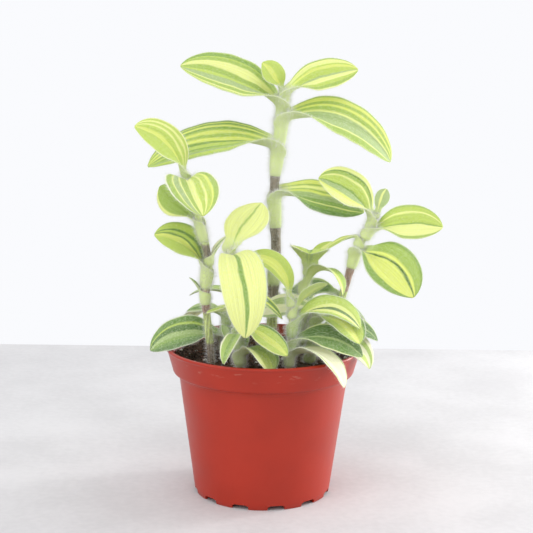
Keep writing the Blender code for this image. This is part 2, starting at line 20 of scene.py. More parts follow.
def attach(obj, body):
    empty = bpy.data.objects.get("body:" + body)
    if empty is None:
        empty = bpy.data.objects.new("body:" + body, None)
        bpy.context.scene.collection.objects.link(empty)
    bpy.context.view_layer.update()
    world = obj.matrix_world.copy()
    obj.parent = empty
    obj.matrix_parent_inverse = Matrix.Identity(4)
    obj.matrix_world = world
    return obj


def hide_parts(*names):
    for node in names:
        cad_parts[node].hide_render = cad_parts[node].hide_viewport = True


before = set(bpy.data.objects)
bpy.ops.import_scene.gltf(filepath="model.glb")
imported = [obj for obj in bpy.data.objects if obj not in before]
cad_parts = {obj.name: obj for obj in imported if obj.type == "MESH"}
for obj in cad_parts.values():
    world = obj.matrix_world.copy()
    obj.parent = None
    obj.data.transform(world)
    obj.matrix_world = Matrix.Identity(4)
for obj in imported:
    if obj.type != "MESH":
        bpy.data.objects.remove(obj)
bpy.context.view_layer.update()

Array = NDArray[np.float64]
Colour = tuple[float, float, float]

log = logging.getLogger("tradescantia")

BODY = "root"

# The middle of the whole plant's footprint, measured from the pot's axis
FOOTPRINT = (0.0134, -0.0042)


class Slot(Enum):
    """The record's finishes."""

    POT = "pot"
    SOIL = "soil"
    STEM_BROWN = "stem_brown"
    STEM_GREEN = "stem_green"
    STEM_PALE = "stem_pale"
    LEAF_GREEN = "leaf_green"
    LEAF_DARK = "leaf_dark"
    LEAF_LIME = "leaf_lime"
    LEAF_YELLOW = "leaf_yellow"
    LEAF_CREAM = "leaf_cream"


class Tone(Enum):
    """The colours that a leaf's stripes take."""

    PALE = (0.765, 0.815, 0.280)
    YELLOW = (0.69, 0.76, 0.165)
    LIME = (0.475, 0.605, 0.105)
    GREEN = (0.345, 0.485, 0.092)
    MID = (0.228, 0.370, 0.068)
    DARK = (0.135, 0.262, 0.050)
    DEEP = (0.080, 0.178, 0.038)
    HOARY = (0.375, 0.490, 0.200)
    CREAM = (0.85, 0.84, 0.57)


class Bark(Enum):
    """The colours that a stem takes along its height."""

    BROWN = (0.28, 0.235, 0.175)
    PINK = (0.42, 0.27, 0.21)
    GREEN = (0.62, 0.73, 0.27)
    MOSS = (0.27, 0.40, 0.12)
    PALE = (0.78, 0.82, 0.46)
    CREAM = (0.80, 0.72, 0.52)


@dataclass(frozen=True)
class Stem:
    """One stem: the points that it grows through from the soil up, and its radii."""

    name: str
    path: tuple[tuple[float, float, float], ...]
    foot_radius: float
    top_radius: float
    slot: Slot = Slot.STEM_BROWN


@dataclass(frozen=True)
class Leaf:
    """One leaf: a sheath round its stem, and the blade that opens from it.

    node and sheath are the height of its foot and the length of its sheath. turn is the way that it
    points, 0 along +X and 90 along +Y, and sweep how far that turns along the blade. rise and fall are
    its slope at the blade's base and tip, bank its roll to one side, fold the V of its two halves, and
    curl how far each half then curves. broad is where the blade is widest, neck its width at the base
    as a share of that, blunt how soon it narrows to the tip, and flare how far the sheath opens.
    """

    name: str
    stem: str
    node: float
    sheath: float
    turn: float
    length: float
    width: float
    rise: float
    fall: float
    sweep: float = 0.0
    bank: float = 0.0
    fold: float = 18.0
    curl: float = -20.0
    broad: float = 0.45
    neck: float = 0.50
    blunt: float = 0.70
    flare: float = 0.0004
    slot: Slot = Slot.LEAF_GREEN


STEMS = (
    Stem("stem_tall", ((0.0040, 0.004, 0.056), (0.0045, 0.004, 0.104), (0.0060, 0.004, 0.130),
                       (0.0045, 0.004, 0.160), (0.0060, 0.004, 0.180), (0.0080, 0.004, 0.200),
                       (0.0090, 0.004, 0.2125)), 0.0028, 0.0015),
    Stem("stem_left", ((-0.0255, -0.018, 0.056), (-0.0280, -0.018, 0.084), (-0.0305, -0.018, 0.110),
                       (-0.0292, -0.018, 0.128), (-0.0325, -0.018, 0.144), (-0.0375, -0.018, 0.160),
                       (-0.0405, -0.018, 0.172)), 0.0020, 0.0015),
    Stem("stem_right", ((0.0285, 0.002, 0.056), (0.0370, -0.004, 0.092), (0.0425, -0.007, 0.113),
                        (0.0480, -0.008, 0.133), (0.0535, -0.008, 0.143), (0.0570, -0.008, 0.1515)),
         0.0021, 0.0016),
    Stem("stem_front", ((0.0125, -0.028, 0.056), (0.0135, -0.028, 0.084), (0.0145, -0.028, 0.096),
                        (0.0138, -0.028, 0.110)), 0.0017, 0.0013, Slot.STEM_PALE),
    Stem("stem_yellow", ((-0.0100, -0.030, 0.056), (-0.0135, -0.031, 0.095), (-0.0155, -0.031, 0.116),
                         (-0.0176, -0.030, 0.136)), 0.0018, 0.0014, Slot.STEM_PALE),
    Stem("stem_side", ((0.0160, 0.002, 0.056), (0.0180, -0.002, 0.088), (0.0205, -0.005, 0.111),
                       (0.0240, -0.006, 0.125)), 0.0016, 0.0012, Slot.STEM_GREEN),
    Stem("stem_low_left", ((-0.0190, 0.000, 0.056), (-0.0205, -0.002, 0.080), (-0.0195, -0.002, 0.097)),
         0.0017, 0.0013, Slot.STEM_GREEN),
    Stem("stem_low_right", ((0.0225, -0.014, 0.056), (0.0245, -0.015, 0.080), (0.0275, -0.015, 0.098)),
         0.0017, 0.0013, Slot.STEM_GREEN),
    Stem("stem_back_left", ((-0.0120, 0.022, 0.056), (-0.0125, 0.024, 0.080), (-0.0110, 0.025, 0.100)),
         0.0018, 0.0013, Slot.STEM_GREEN),
    Stem("stem_back_right", ((0.0200, 0.020, 0.056), (0.0215, 0.022, 0.080), (0.0230, 0.023, 0.095)),
         0.0018, 0.0013, Slot.STEM_GREEN),
)

LEAVES = (
    # Tall stem, from the top down
    Leaf("leaf_tall_1", "stem_tall", 0.1970, 0.0055, 187, 0.0515, 0.0255, 38, 2, 0, -50, neck=0.72,
         flare=0.0016),
    Leaf("leaf_tall_2", "stem_tall", 0.2070, 0.0025, 5, 0.0345, 0.0200, 30, 5, 0, 52, neck=0.62,
         flare=0.0014),
    Leaf("leaf_tall_3", "stem_tall", 0.2110, 0.0010, 187, 0.0150, 0.0145, 68, 40, 0, -58, flare=0.0002,
         slot=Slot.LEAF_LIME),
    Leaf("leaf_tall_4", "stem_tall", 0.1825, 0.0130, 0, 0.0585, 0.0305, 10, -58, 2, 37, neck=0.62,
         flare=0.0016),
    Leaf("leaf_tall_5", "stem_tall", 0.1705, 0.0095, 180, 0.0645, 0.0250, 14, -36, 0, -40, neck=0.82,
         flare=0.0014),
    Leaf("leaf_tall_6", "stem_tall", 0.1430, 0.0120, 0, 0.0415, 0.0225, -4, -20, 0, 44, neck=0.75),
    Leaf("leaf_tall_7", "stem_tall", 0.1125, 0.0090, 205, 0.019, 0.0165, -40, -85, 0, -8,
         slot=Slot.LEAF_DARK),
    # Left stem
    Leaf("leaf_left_1", "stem_left", 0.1680, 0.0010, 193, 0.033, 0.02, 77, 8, -4, -56, flare=0.0002),
    Leaf("leaf_left_2", "stem_left", 0.1615, 0.0030, -85, 0.045, 0.027, 8, -40, 18, -14, flare=0.0012),
    Leaf("leaf_left_3", "stem_left", 0.1385, 0.0070, 162, 0.022, 0.019, 45, 37, 0, -56),
    Leaf("leaf_left_4", "stem_left", 0.1140, 0.0060, 180, 0.0285, 0.0215, 66, -6, 0, -40, flare=0.0016),
    Leaf("leaf_left_5", "stem_left", 0.1262, 0.0020, 12, 0.0115, 0.010, 60, 45, slot=Slot.LEAF_CREAM),
    Leaf("leaf_left_6", "stem_left", 0.1055, 0.0050, 180, 0.008, 0.006, 62, 40, slot=Slot.LEAF_LIME),
    # Low shoot on the left
    Leaf("leaf_low_left_1", "stem_low_left", 0.0755, 0.0030, 188, 0.0355, 0.028, 17, -40, 0, -20,
         flare=0.0014),
    Leaf("leaf_low_left_2", "stem_low_left", 0.0905, 0.0015, 174, 0.017, 0.0145, 24, -20, 0, -8,
         flare=0.0014),
    Leaf("leaf_low_left_3", "stem_low_left", 0.0950, 0.0010, -20, 0.010, 0.012, 82, 75),
    Leaf("leaf_low_left_4", "stem_low_left", 0.0837, 0.0010, -72, 0.022, 0.0150, 14, -66, flare=0.0016,
         slot=Slot.LEAF_DARK),
    # Yellow shoot
    Leaf("leaf_yellow_1", "stem_yellow", 0.1250, 0.0030, -77, 0.0565, 0.0228, 12, -108, 0, 6, 12,
         flare=0.0014, slot=Slot.LEAF_YELLOW),
    Leaf("leaf_yellow_2", "stem_yellow", 0.1310, 0.0020, 49, 0.0265, 0.023, 51, 32, 0, 16, 8,
         slot=Slot.LEAF_YELLOW),
    Leaf("leaf_yellow_3", "stem_yellow", 0.1000, 0.0030, 205, 0.011, 0.012, 5, -10, 0, 10,
         flare=0.0014, slot=Slot.LEAF_LIME),
    Leaf("leaf_yellow_4", "stem_yellow", 0.1055, 0.0030, 8, 0.0225, 0.0155, -20, -50, 0, 15),
    Leaf("leaf_yellow_5", "stem_yellow", 0.0897, 0.0020, -30, 0.0255, 0.0150, -16, -36, 0, 14),
    Leaf("leaf_yellow_6", "stem_yellow", 0.0760, 0.0020, -40, 0.0200, 0.0215, 24, -80, 0, -12,
         flare=0.0014, slot=Slot.LEAF_LIME),
    Leaf("leaf_yellow_7", "stem_yellow", 0.0848, 0.0010, -86, 0.028, 0.0135, 36, -82, -55, 20, flare=0.0014),
    # Front stem
    Leaf("leaf_front_1", "stem_front", 0.1070, 0.0010, 167, 0.030, 0.0110, 92, -18, 0, -62,
         slot=Slot.LEAF_LIME),
    Leaf("leaf_front_2", "stem_front", 0.1008, 0.0010, 10, 0.018, 0.0105, 56, 14, 0, -42, flare=0.0010,
         slot=Slot.LEAF_LIME),
    Leaf("leaf_front_3", "stem_front", 0.0905, 0.0040, -10, 0.035, 0.0165, 47, -64, 0, 27, flare=0.0014),
    Leaf("leaf_front_4", "stem_front", 0.0755, 0.0015, -34, 0.034, 0.019, 20, -74, 0, -8,
         slot=Slot.LEAF_CREAM),
    Leaf("leaf_front_5", "stem_front", 0.0828, 0.0015, -6, 0.033, 0.017, 14, -44, 0, 36, flare=0.0012,
         slot=Slot.LEAF_DARK),
    # Right stem
    Leaf("leaf_right_1", "stem_right", 0.1442, 0.0010, 182, 0.0315, 0.0245, 62, 6, 0, -46, flare=0.0004),
    Leaf("leaf_right_2", "stem_right", 0.1396, 0.0012, -5, 0.0325, 0.0205, 21, -15, 0, 60, flare=0.0014),
    Leaf("leaf_right_3", "stem_right", 0.1240, 0.0040, -40, 0.0365, 0.028, -8, -56, 0, 44),
    Leaf("leaf_right_4", "stem_right", 0.1349, 0.0007, 173, 0.0160, 0.0066, -18, -40, 0, -20, flare=0.0010),
    Leaf("leaf_right_5", "stem_right", 0.1512, 0.0002, 58, 0.0125, 0.008, 64, 35, 0, 24, flare=0.0,
         slot=Slot.LEAF_LIME),
    Leaf("leaf_right_6", "stem_right", 0.0945, 0.0075, 147, 0.0320, 0.0155, 12, -42, 0, -40,
         slot=Slot.LEAF_DARK),
    # Side shoot
    Leaf("leaf_side_1", "stem_side", 0.1190, 0.0010, -95, 0.02, 0.021, 68, -20, 6, 0, flare=0.0012),
    Leaf("leaf_side_2", "stem_side", 0.1231, 0.0005, 30, 0.0135, 0.011, 56, 25, 0, 0, flare=0.0002),
    Leaf("leaf_side_3", "stem_side", 0.1085, 0.0030, -38, 0.029, 0.0145, 58, -96, 0, -16, flare=0.0014),
    # Low shoot on the right
    Leaf("leaf_low_right_1", "stem_low_right", 0.0910, 0.0015, -46, 0.028, 0.02, 22, -62, 4, 16,
         flare=0.0014, slot=Slot.LEAF_LIME),
    Leaf("leaf_low_right_2", "stem_low_right", 0.0822, 0.0015, 8, 0.032, 0.0150, 32, -50, 0, 30,
         flare=0.0012, slot=Slot.LEAF_DARK),
    Leaf("leaf_low_right_3", "stem_low_right", 0.0745, 0.0010, -4, 0.034, 0.0170, 40, -84, 0, 36,
         flare=0.0016, slot=Slot.LEAF_CREAM),
    Leaf("leaf_low_right_4", "stem_low_right", 0.0960, 0.0008, 168, 0.027, 0.0165, 8, -28, 0, -38,
         slot=Slot.LEAF_CREAM),
    # Back shoots
    Leaf("leaf_back_left_1", "stem_back_left", 0.0755, 0.0030, 140, 0.040, 0.022, 32, -50, flare=0.0014),
    Leaf("leaf_back_left_2", "stem_back_left", 0.0835, 0.0030, 65, 0.036, 0.020, 35, -35, flare=0.0014),
    Leaf("leaf_back_left_3", "stem_back_left", 0.0915, 0.0020, 172, 0.026, 0.016, 30, -30, flare=0.0014),
    Leaf("leaf_back_right_1", "stem_back_right", 0.0755, 0.0030, 45, 0.038, 0.022, 32, -55, flare=0.0014),
    Leaf("leaf_back_right_2", "stem_back_right", 0.0835, 0.0030, 100, 0.032, 0.018, 40, -25, flare=0.0014),
    Leaf("leaf_back_right_3", "stem_back_right", 0.0910, 0.0020, -5, 0.030, 0.018, 10, -50),
)

# The colour of each stem's skin from its foot up, each with the height where it ends
SKINS = {
    "stem_tall": "brown .0885 green .1025 brown .112 green .128 brown .144 green .157 brown .172 green 1",
    "stem_left": "brown .0850 green .1010 pink .1135 green .1300 brown .1370 green .1600 pale 1",
    "stem_right": "brown .0960 green .1110 pink .1250 green 1",
    "stem_front": "cream .0860 pale 1",
    "stem_yellow": "moss .0900 pale 1",
    "stem_side": "moss .0950 green 1",
    "stem_low_left": "moss 1",
    "stem_low_right": "moss .0900 green 1",
    "stem_back_left": "brown .0740 moss .0850 green 1",
    "stem_back_right": "brown .0740 moss .0850 green 1",
}

# Each leaf's stripes, from its -1 margin to its +1 margin: a tone and the share of the half width where
# it ends. The +1 margin is the near one on a leaf that points right and the far one on a leaf that
# points left.
STRIPES = {
    "leaf_tall_1": "lime -.84 pale -.76 green -.58 pale -.52 hoary -.22 lime -.06 green .16"
                   " pale .43 green .60 lime .66 mid .86 green 1",
    "leaf_tall_2": "green -.85 pale -.55 lime -.45 yellow -.30 lime -.05 hoary .05 pale .35 lime .60"
                   " green .85 pale 1",
    "leaf_tall_3": "lime -.20 yellow .20 lime 1",
    "leaf_tall_4": "green -.86 yellow -.64 green -.50 yellow -.40 green -.26 pale -.18"
                   " hoary .42 pale .50 green .82 lime 1",
    "leaf_tall_5": "green -.85 lime -.62 hoary -.52 green -.40 mid -.33 lime -.12 mid .04"
                   " yellow .16 green .28 yellow .40 green .48 mid .58 yellow .68 mid .80 yellow .86 dark 1",
    "leaf_tall_6": "mid -.90 yellow -.65 green -.55 pale -.40 green -.32 yellow -.22"
                   " hoary .02 mid .30 pale .37 mid .62 dark 1",
    "leaf_tall_7": "dark -.10 yellow .02 dark 1",
    "leaf_left_1": "pale -.92 lime -.10 yellow .10 lime .30 pale .42 lime .55 pale .70"
                   " lime .88 pale 1",
    "leaf_left_2": "cream -.92 green -.66 yellow -.56 lime -.40 pale -.32 lime -.14"
                   " pale .10 green .34 pale .40 hoary .60 pale .66 green .92 cream 1",
    "leaf_left_3": "pale -.72 green .60 hoary .80 pale 1",
    "leaf_left_4": "lime -.20 yellow .08 dark .16 lime .30 dark .42 lime .80 green .90 mid 1",
    "leaf_left_5": "cream -.30 hoary .30 cream 1",
    "leaf_left_6": "hoary 1",
    "leaf_low_left_1": "deep -.55 dark -.30 mid .00 hoary .18 deep .42 lime .52 dark .90 hoary 1",
    "leaf_low_left_2": "hoary -.40 dark .30 hoary 1",
    "leaf_low_left_3": "mid -.60 lime -.20 mid 1",
    "leaf_yellow_1": "green -.94 pale -.11 mid .07 pale 1",
    "leaf_yellow_2": "pale -.04 green .03 pale 1",
    "leaf_yellow_3": "pale -.10 lime 1",
    "leaf_yellow_4": "yellow -.60 dark -.20 yellow .05 dark .60 lime 1",
    "leaf_yellow_5": "dark -.70 lime -.20 yellow .30 lime .80 yellow 1",
    "leaf_yellow_6": "dark -.65 green -.20 lime .50 pale 1",
    "leaf_yellow_7": "cream -.85 green -.30 mid .20 green .70 cream 1",
    "leaf_front_1": "lime -.50 yellow .20 lime 1",
    "leaf_front_2": "lime -.10 yellow .20 lime 1",
    "leaf_front_3": "green -.75 lime -.20 pale .02 deep .34 pale .62 lime .85 mid 1",
    "leaf_front_4": "green -.80 cream .70 green .82 cream 1",
    "leaf_right_1": "pale -.55 yellow -.40 hoary -.05 mid .05 lime .35 pale .45 green .62 dark .68"
                    " pale 1",
    "leaf_right_2": "green -.82 lime -.55 pale -.45 lime -.04 mid .03 pale .72 green .90"
                    " lime 1",
    "leaf_right_3": "mid -.80 green -.30 yellow -.17 deep -.09 yellow .60 mid .95 hoary 1",
    "leaf_right_4": "lime .20 pale .60 lime 1",
    "leaf_right_5": "hoary -.30 pale .00 hoary 1",
    "leaf_side_1": "lime -.18 dark -.04 lime .04 dark .12 lime .80 pale 1",
    "leaf_side_2": "lime -.20 pale .30 yellow 1",
    "leaf_side_3": "green -.20 lime .10 pale .60 lime 1",
    "leaf_low_right_1": "dark -.72 mid -.62 lime -.10 yellow .45 lime .85 mid 1",
    "leaf_low_right_2": "hoary -.72 deep -.10 hoary .02 deep .82 hoary 1",
    "leaf_low_right_3": "cream -.60 green -.25 cream .10 lime .55 cream 1",
    "leaf_low_right_4": "hoary -.60 cream .20 hoary .60 cream 1",
    "leaf_back_left_1": "green -.60 pale -.40 mid -.05 yellow .15 mid .55 pale .70 green 1",
    "leaf_back_left_2": "mid -.50 lime -.30 mid .10 pale .25 dark .70 lime 1",
    "leaf_back_left_3": "dark -.60 green -.20 pale .05 green .60 mid 1",
    "leaf_back_right_1": "green -.70 yellow -.45 mid -.10 pale .20 mid .50 lime .80 green 1",
    "leaf_back_right_2": "mid -.60 hoary -.10 pale .12 mid .80 pale 1",
    "leaf_back_right_3": "pale -.86 dark -.30 hoary .10 dark .85 pale 1",
    "leaf_low_left_4": "mid -.70 deep .30 hoary .80 mid 1",
    "leaf_front_5": "pale -.88 deep -.10 hoary .05 dark .84 pale 1",
    "leaf_right_6": "hoary -.70 dark -.05 deep .70 hoary 1",
}


def smoothstep(x: Any) -> Any:
    """Eases from 0 to 1."""
    x = np.clip(x, 0.0, 1.0)
    return x * x * (3.0 - 2.0 * x)


def unit(v: Array) -> Array:
    """The vectors at length one."""
    return v / np.linalg.norm(v, axis=-1, keepdims=True)


def turned_about(v: Array, axis: Array, angle: float) -> Array:
    """The vector turned about a unit axis.

    Args:
        v: the vector.
        axis: the unit axis.
        angle: the turn in radians.

    Returns:
        The turned vector.
    """
    level = axis * np.dot(axis, v)
    return level + (v - level) * math.cos(angle) + np.cross(axis, v) * math.sin(angle)


def smooth_path(points: tuple[tuple[float, float, float], ...], per_span: int = 12) -> Array:
    """A Catmull-Rom curve through the points.

    Args:
        points: the points that the curve passes through.
        per_span: how many steps lie between two of them.

    Returns:
        The curve's points.
    """
    p = np.array(points, float)
    p = np.vstack([2 * p[0] - p[1], p, 2 * p[-1] - p[-2]])
    curve = []
    for a, b, c, d in zip(p[:-3], p[1:-2], p[2:-1], p[3:]):
        for t in np.linspace(0.0, 1.0, per_span, endpoint=False):
            curve.append(0.5 * (2 * b + (c - a) * t + (2 * a - 5 * b + 4 * c - d) * t * t
                                + (3 * b - a - 3 * c + d) * t ** 3))
    curve.append(p[-2])
    return np.array(curve)


class Grown:
    """A stem's smooth centre line, read by height."""

    def __init__(self, stem: Stem) -> None:
        """Keeps the stem and its line."""
        self.stem = stem
        self.line = smooth_path(stem.path)
        self.low = float(self.line[0, 2])
        self.high = float(self.line[-1, 2])

    def centre(self, z: float) -> Array:
        """The centre line's point at a height."""
        return np.array([np.interp(z, self.line[:, 2], self.line[:, i]) for i in range(3)])

    def along(self, z: float) -> Array:
        """The direction of growth at a height."""
        reach = 0.003
        low, high = max(z - reach, self.low), min(z + reach, self.high)
        return unit(self.centre(high) - self.centre(low))

    def radius(self, z: float) -> float:
        """The stem's radius at a height, without its swellings."""
        share = (z - self.low) / (self.high - self.low)
        return self.stem.foot_radius + (self.stem.top_radius - self.stem.foot_radius) * share ** 3


def new_mesh_object(name: str, points: Array, faces: Any, smooth: bool = True) -> bpy.types.Object:
    """A new object with a mesh whose faces point outwards, moved from the pot's axis to the footprint's.

    Args:
        name: the object's name.
        points: the vertices, measured from the pot's axis.
        faces: each face's vertices.
        smooth: whether the faces are shaded smooth.

    Returns:
        The object.
    """
    shifted = np.array(points, float) - np.array([*FOOTPRINT, 0.0])
    mesh = bpy.data.meshes.new(name)
    mesh.from_pydata(shifted.tolist(), [], [list(map(int, f)) for f in faces])
    made = bmesh.new()
    made.from_mesh(mesh)
    bmesh.ops.recalc_face_normals(made, faces=made.faces)
    made.to_mesh(mesh)
    made.free()
    if smooth:
        mesh.shade_smooth()
    obj = bpy.data.objects.new(name, mesh)
    bpy.context.scene.collection.objects.link(obj)
    return obj


def point_attribute(obj: bpy.types.Object, name: str, values: Array) -> None:
    """Writes one number for each vertex.

    Args:
        obj: the object whose mesh takes the attribute.
        name: the attribute's name.
        values: its numbers, in the order of the vertices.
    """
    attribute = obj.data.attributes.new(name, "FLOAT", "POINT")
    attribute.data.foreach_set("value", np.asarray(values, np.float32))


def ring_faces(count: int, sides: int) -> list[tuple[int, ...]]:
    """Faces that join rings of equal size, closed round and at both ends by one centre point each.

    Args:
        count: the number of rings.
        sides: the number of points in a ring.

    Returns:
        The faces, where the two centre points follow the rings' own points.
    """
    faces: list[tuple[int, ...]] = []
    for i in range(count - 1):
        for j in range(sides):
            k = (j + 1) % sides
            faces.append((i * sides + j, i * sides + k, (i + 1) * sides + k, (i + 1) * sides + j))
    for j in range(sides):
        faces.append(((j + 1) % sides, j, count * sides))
        faces.append(((count - 1) * sides + j, (count - 1) * sides + (j + 1) % sides, count * sides + 1))
    return faces


class Wiring:
    """Adds nodes to a tree and joins them."""

    def __init__(self, tree: bpy.types.NodeTree) -> None:
        """Keeps the tree."""
        self.tree = tree

    def node(self, kind: str, sockets: dict[Any, Any] | None = None, **settings: Any) -> bpy.types.Node:
        """Adds one node.

        Args:
            kind: Blender's name for the node's type.
            sockets: the values or the other nodes' outputs that its inputs take.
            settings: the node's own options.

        Returns:
            The node.
        """
        made = self.tree.nodes.new(kind)
        for key, value in settings.items():
            setattr(made, key, value)
        for key, value in (sockets or {}).items():
            if isinstance(value, bpy.types.NodeSocket):
                self.tree.links.new(value, made.inputs[key])
            else:
                made.inputs[key].default_value = value
        return made

    def maths(self, operation: str, a: Any, b: Any = 0.0) -> bpy.types.NodeSocket:
        """One sum on two numbers, and its result's socket."""
        return self.node("ShaderNodeMath", {0: a, 1: b}, operation=operation).outputs[0]

    def noise(self, vector: Any, scale: float, detail: float = 2.0) -> bpy.types.NodeSocket:
        """A noise's strength at a place, about 0.5 on average."""
        made = self.node("ShaderNodeTexNoise", {"Vector": vector, "Scale": scale, "Detail": detail})
        return made.outputs["Fac"]

    def between(self, value: Any, low: float, high: float, start: float = 0.0, end: float = 1.0) -> Any:
        """A number eased from start to end as the value goes from low to high.

        Args:
            value: the number or socket that is read.
            low: where the change begins.
            high: where it is done.
            start: the result up to low.
            end: the result from high on.

        Returns:
            The result's socket.
        """
        sockets = {"Value": value, "From Min": low, "From Max": high, "To Min": start, "To Max": end}
        return self.node("ShaderNodeMapRange", sockets, interpolation_type="SMOOTHSTEP").outputs["Result"]

    def mixed(self, share: Any, a: Any, b: Any, blend: str = "MIX") -> bpy.types.NodeSocket:
        """Two colours mixed.

        Args:
            share: how much of b there is.
            a: the first colour.
            b: the second colour.
            blend: how they mix.

        Returns:
            The mixture's socket.
        """
        colours = {6: a, 7: b}
        for key, value in colours.items():
            if not isinstance(value, bpy.types.NodeSocket):
                colours[key] = (*value, 1.0)
        made = self.node("ShaderNodeMix", {0: share, **colours}, data_type="RGBA", blend_type=blend)
        return made.outputs[2]


def fresh_material(name: str) -> tuple[bpy.types.Material, Wiring, bpy.types.Node]:
    """A new material with its Principled shader.

    Args:
        name: the material's name.

    Returns:
        The material, its wiring and its shader.
    """
    material = bpy.data.materials.new(name)
    material.use_nodes = True
    return material, Wiring(material.node_tree), material.node_tree.nodes["Principled BSDF"]


def set_shader(shader: bpy.types.Node, **values: Any) -> None:
    """Sets uniform values on a shader's own sockets, named with _ for each space."""
    for key, value in values.items():
        shader.inputs[key.replace("_", " ")].default_value = value


def banded(wiring: Wiring, place: Any, bands: list[tuple[float, Colour]], edge: float) -> Any:
    """Colours in bands along a number from 0 to 1.

    Args:
        wiring: the material's wiring.
        place: the number's socket.
        bands: where each band ends, and its colour.
        edge: the width over which one band passes into the next.

    Returns:
        The colour's socket.
    """
    made = wiring.node("ShaderNodeValToRGB", {"Fac": place})
    stops = made.color_ramp.elements
    stops[0].position, stops[0].color = 0.0, (*bands[0][1], 1.0)
    stops[1].position, stops[1].color = 1.0, (*bands[-1][1], 1.0)
    for (end, tone), (_, after) in zip(bands[:-1], bands[1:]):
        for middle, colour in ((end - 0.5 * edge, tone), (end + 0.5 * edge, after)):
            stop = stops.new(min(max(middle, 0.001), 0.999))
            stop.color = (*colour, 1.0)
    return made.outputs["Color"]


@dataclass(frozen=True)
class LeafFinish:
    """A striped, velvety leaf: bands that run with its veins and meet at its tip."""

    name: str
    stripes: str
    seed: int
    velvet: float
    sheath_tone: Colour
    edge: float = 0.028
    wander: float = 0.07
    under_tone: Colour = (0.52, 0.60, 0.28)
    velvet_tone: Colour = (0.81, 0.87, 0.60)
    margin_tone: Colour = (0.88, 0.92, 0.72)

    def bands(self) -> list[tuple[float, Colour]]:
        """The stripes as places from 0 to 1 across the blade, each with its colour."""
        words = self.stripes.split()
        pairs = zip(words[::2], words[1::2])
        return [(0.5 + 0.5 * float(end), Tone[tone.upper()].value) for tone, end in pairs]

    def material(self) -> bpy.types.Material:
        """Builds the material."""
        material, wiring, shader = fresh_material(self.name)
        place = wiring.node("ShaderNodeTexCoord")
        uv = wiring.node("ShaderNodeSeparateXYZ", {0: place.outputs["UV"]})
        u, v = uv.outputs[0], uv.outputs[1]
        offset = 7.3 * self.seed

        def stretched(across: float, along: float) -> bpy.types.NodeSocket:
            """A place drawn out along the blade."""
            x = wiring.maths("MULTIPLY", u, across)
            y = wiring.maths("MULTIPLY", v, along)
            return wiring.node("ShaderNodeCombineXYZ", {0: x, 1: y, 2: offset}).outputs[0]

        drift = wiring.maths("SUBTRACT", wiring.noise(stretched(4.0, 3.0), 1.0), 0.5)
        inside = wiring.maths("MULTIPLY", wiring.maths("MULTIPLY", u, wiring.maths("SUBTRACT", 1.0, u)), 4.0)
        moved = wiring.maths("MULTIPLY", wiring.maths("MULTIPLY", drift, inside), 2 * self.wander)
        colour = banded(wiring, wiring.maths("ADD", u, moved), self.bands(), self.edge)

        streaks = wiring.noise(stretched(55.0, 1.6), 1.0, 3.0)
        shade = wiring.between(streaks, 0.30, 0.70, 0.87, 1.05)
        grey = wiring.node("ShaderNodeCombineColor", {0: shade, 1: shade, 2: shade}).outputs[0]
        colour = wiring.mixed(1.0, colour, grey, "MULTIPLY")

        under = wiring.node("ShaderNodeAttribute", attribute_name="under").outputs["Fac"]
        colour = wiring.mixed(wiring.maths("MULTIPLY", under, 0.62), colour, self.under_tone)
        sheath = wiring.between(v, 0.10, 0.30, 1.0, 0.0)
        colour = wiring.mixed(wiring.maths("MULTIPLY", sheath, 0.85), colour, self.sheath_tone)
        fuzz = wiring.noise(stretched(150.0, 36.0), 1.0, 3.0)
        frost = wiring.between(fuzz, 0.42, 0.68, 0.0, 2.6 * self.velvet)
        colour = wiring.mixed(frost, colour, self.velvet_tone)
        margin = wiring.between(inside, 0.02, 0.10 + 0.9 * self.velvet, 0.35 + 1.8 * self.velvet, 0.0)
        colour = wiring.mixed(margin, colour, self.margin_tone)
        wiring.tree.links.new(colour, shader.inputs["Base Color"])

        veins = wiring.noise(stretched(80.0, 1.0), 1.0, 2.0)
        grain = wiring.maths("ADD", veins, wiring.maths("MULTIPLY", fuzz, 0.35))
        bump = wiring.node("ShaderNodeBump", {"Strength": 0.35, "Distance": 0.00025, "Height": grain})
        wiring.tree.links.new(bump.outputs[0], shader.inputs["Normal"])
        set_shader(shader, Roughness=0.62, Specular_IOR_Level=0.15, Sheen_Weight=0.04,
                   Subsurface_Weight=0.06, Subsurface_Scale=0.0012)
        shader.inputs["Subsurface Radius"].default_value = (0.9, 1.0, 0.35)
        return material


